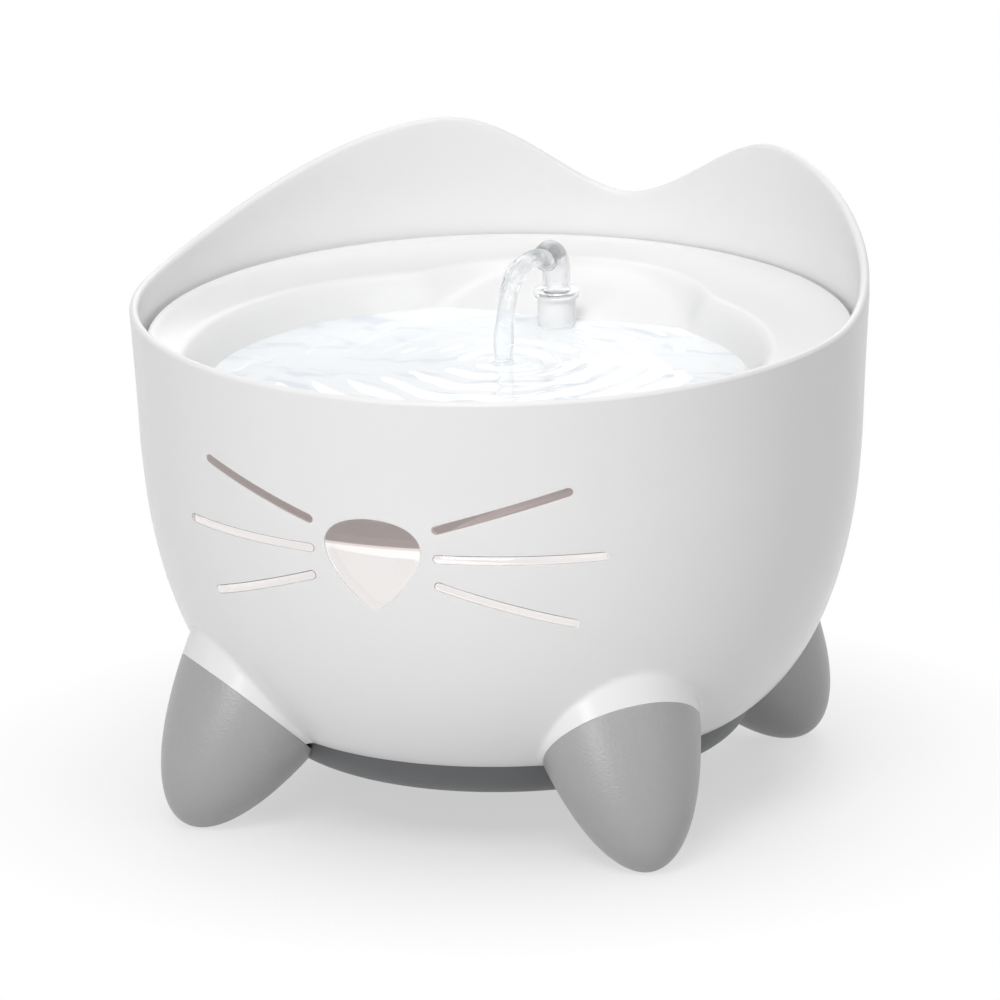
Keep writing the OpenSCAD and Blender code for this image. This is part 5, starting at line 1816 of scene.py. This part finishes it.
def hang_lamps(scene, s):
    """Square lamps, each with its watts in the setting of its name."""
    for name, where, size in LAMPS:
        light = bpy.data.lights.new(f"{name}_light", "AREA")
        light.shape = "SQUARE"
        light.size = size
        light.energy = getattr(s, name)
        lamp = bpy.data.objects.new(f"{name}_light", light)
        lamp.location = where
        ahead = Vector(LAMP_TARGET) - Vector(where)
        lamp.rotation_euler = ahead.to_track_quat("-Z", "Y").to_euler()
        lamp.visible_camera = False
        scene.collection.objects.link(lamp)


def build_studio(scene):
    s = scene.fountain_studio
    place_camera(scene, s)
    lay_floor(s)
    make_sky(scene, s)
    hang_lamps(scene, s)
    scene.view_settings.view_transform = "Standard"


# ---------------------------------------------------------------- operators

class FOUNTAIN_OT_finishes(bpy.types.Operator):
    """Make every finish and the shared trees, and dress the solids that stay"""
    bl_idname = "fountain.finishes"
    bl_label = "Finishes"
    bl_options = {"REGISTER", "UNDO"}

    def execute(self, context):
        make_finishes(context.scene)
        ring_tree()
        grid_tree()
        sweep_tree()
        dress_cad()
        return {"FINISHED"}


class FOUNTAIN_OT_tank(bpy.types.Operator):
    """Build the white tank with its ears, ankles and face cutouts"""
    bl_idname = "fountain.tank"
    bl_label = "Tank"
    bl_options = {"REGISTER", "UNDO"}

    def execute(self, context):
        build_tank(context.scene)
        return {"FINISHED"}


class FOUNTAIN_OT_window(bpy.types.Operator):
    """Build the clear window behind the cat face"""
    bl_idname = "fountain.window"
    bl_label = "Face window"
    bl_options = {"REGISTER", "UNDO"}

    def execute(self, context):
        build_window(context.scene)
        return {"FINISHED"}


class FOUNTAIN_OT_feet(bpy.types.Operator):
    """Build the two pairs of grey feet"""
    bl_idname = "fountain.feet"
    bl_label = "Feet"
    bl_options = {"REGISTER", "UNDO"}

    def execute(self, context):
        build_feet(context.scene)
        return {"FINISHED"}


class FOUNTAIN_OT_base(bpy.types.Operator):
    """Build the base cover and its screws"""
    bl_idname = "fountain.base"
    bl_label = "Base cover and screws"
    bl_options = {"REGISTER", "UNDO"}

    def execute(self, context):
        build_base()
        return {"FINISHED"}


class FOUNTAIN_OT_dish(bpy.types.Operator):
    """Build the drinking dish with its tower and drain holes"""
    bl_idname = "fountain.dish"
    bl_label = "Dish"
    bl_options = {"REGISTER", "UNDO"}

    def execute(self, context):
        build_dish(context.scene)
        return {"FINISHED"}


class FOUNTAIN_OT_spout(bpy.types.Operator):
    """Build the clear elbow spout"""
    bl_idname = "fountain.spout"
    bl_label = "Spout"
    bl_options = {"REGISTER", "UNDO"}

    def execute(self, context):
        build_spout(context.scene)
        return {"FINISHED"}


class FOUNTAIN_OT_filter(bpy.types.Operator):
    """Build the granule bed and the fleece pad"""
    bl_idname = "fountain.filter"
    bl_label = "Filter"
    bl_options = {"REGISTER", "UNDO"}

    def execute(self, context):
        build_filter(context.scene)
        return {"FINISHED"}


class FOUNTAIN_OT_pump(bpy.types.Operator):
    """Build the copper winding and the intake foam"""
    bl_idname = "fountain.pump"
    bl_label = "Pump winding and foam"
    bl_options = {"REGISTER", "UNDO"}

    def execute(self, context):
        build_pump(context.scene)
        return {"FINISHED"}


class FOUNTAIN_OT_water(bpy.types.Operator):
    """Build the pool, the stream and the tank's water"""
    bl_idname = "fountain.water"
    bl_label = "Water"
    bl_options = {"REGISTER", "UNDO"}

    def execute(self, context):
        build_water(context.scene)
        return {"FINISHED"}


class FOUNTAIN_OT_studio(bpy.types.Operator):
    """Build the floor, the lamps and the camera"""
    bl_idname = "fountain.studio"
    bl_label = "Studio"
    bl_options = {"REGISTER", "UNDO"}

    def execute(self, context):
        build_studio(context.scene)
        return {"FINISHED"}


OPERATORS = (
    FOUNTAIN_OT_finishes, FOUNTAIN_OT_tank, FOUNTAIN_OT_window, FOUNTAIN_OT_feet, FOUNTAIN_OT_base,
    FOUNTAIN_OT_dish, FOUNTAIN_OT_spout, FOUNTAIN_OT_filter, FOUNTAIN_OT_pump, FOUNTAIN_OT_water,
    FOUNTAIN_OT_studio)


class FOUNTAIN_PT_pieces(bpy.types.Panel):
    """Lists the fountain's steps in their order"""
    bl_idname = "FOUNTAIN_PT_pieces"
    bl_label = "Pet water fountain"
    bl_space_type = "VIEW_3D"
    bl_region_type = "UI"
    bl_category = "Fountain"

    def draw(self, context):
        for operator in OPERATORS:
            self.layout.operator(operator.bl_idname)


SETTINGS = {
    "fountain_tank": FountainTankSettings,
    "fountain_feet": FountainFootSettings,
    "fountain_dish": FountainDishSettings,
    "fountain_spout": FountainSpoutSettings,
    "fountain_filter": FountainFilterSettings,
    "fountain_pump": FountainPumpSettings,
    "fountain_water": FountainWaterSettings,
    "fountain_studio": FountainStudioSettings,
}


def register():
    for kind in SETTINGS.values():
        bpy.utils.register_class(kind)
    for name, kind in SETTINGS.items():
        setattr(bpy.types.Scene, name, bpy.props.PointerProperty(type=kind))
    for operator in OPERATORS:
        bpy.utils.register_class(operator)
    bpy.utils.register_class(FOUNTAIN_PT_pieces)


def unregister():
    bpy.utils.unregister_class(FOUNTAIN_PT_pieces)
    for operator in reversed(OPERATORS):
        bpy.utils.unregister_class(operator)
    for name in SETTINGS:
        delattr(bpy.types.Scene, name)
    for kind in reversed(list(SETTINGS.values())):
        bpy.utils.unregister_class(kind)


def main():
    register()
    bpy.ops.fountain.finishes()
    bpy.ops.fountain.tank()
    bpy.ops.fountain.window()
    bpy.ops.fountain.feet()
    bpy.ops.fountain.base()
    bpy.ops.fountain.dish()
    bpy.ops.fountain.spout()
    bpy.ops.fountain.filter()
    bpy.ops.fountain.pump()
    bpy.ops.fountain.water()
    bpy.ops.fountain.studio()


if __name__ == "__main__":
    main()
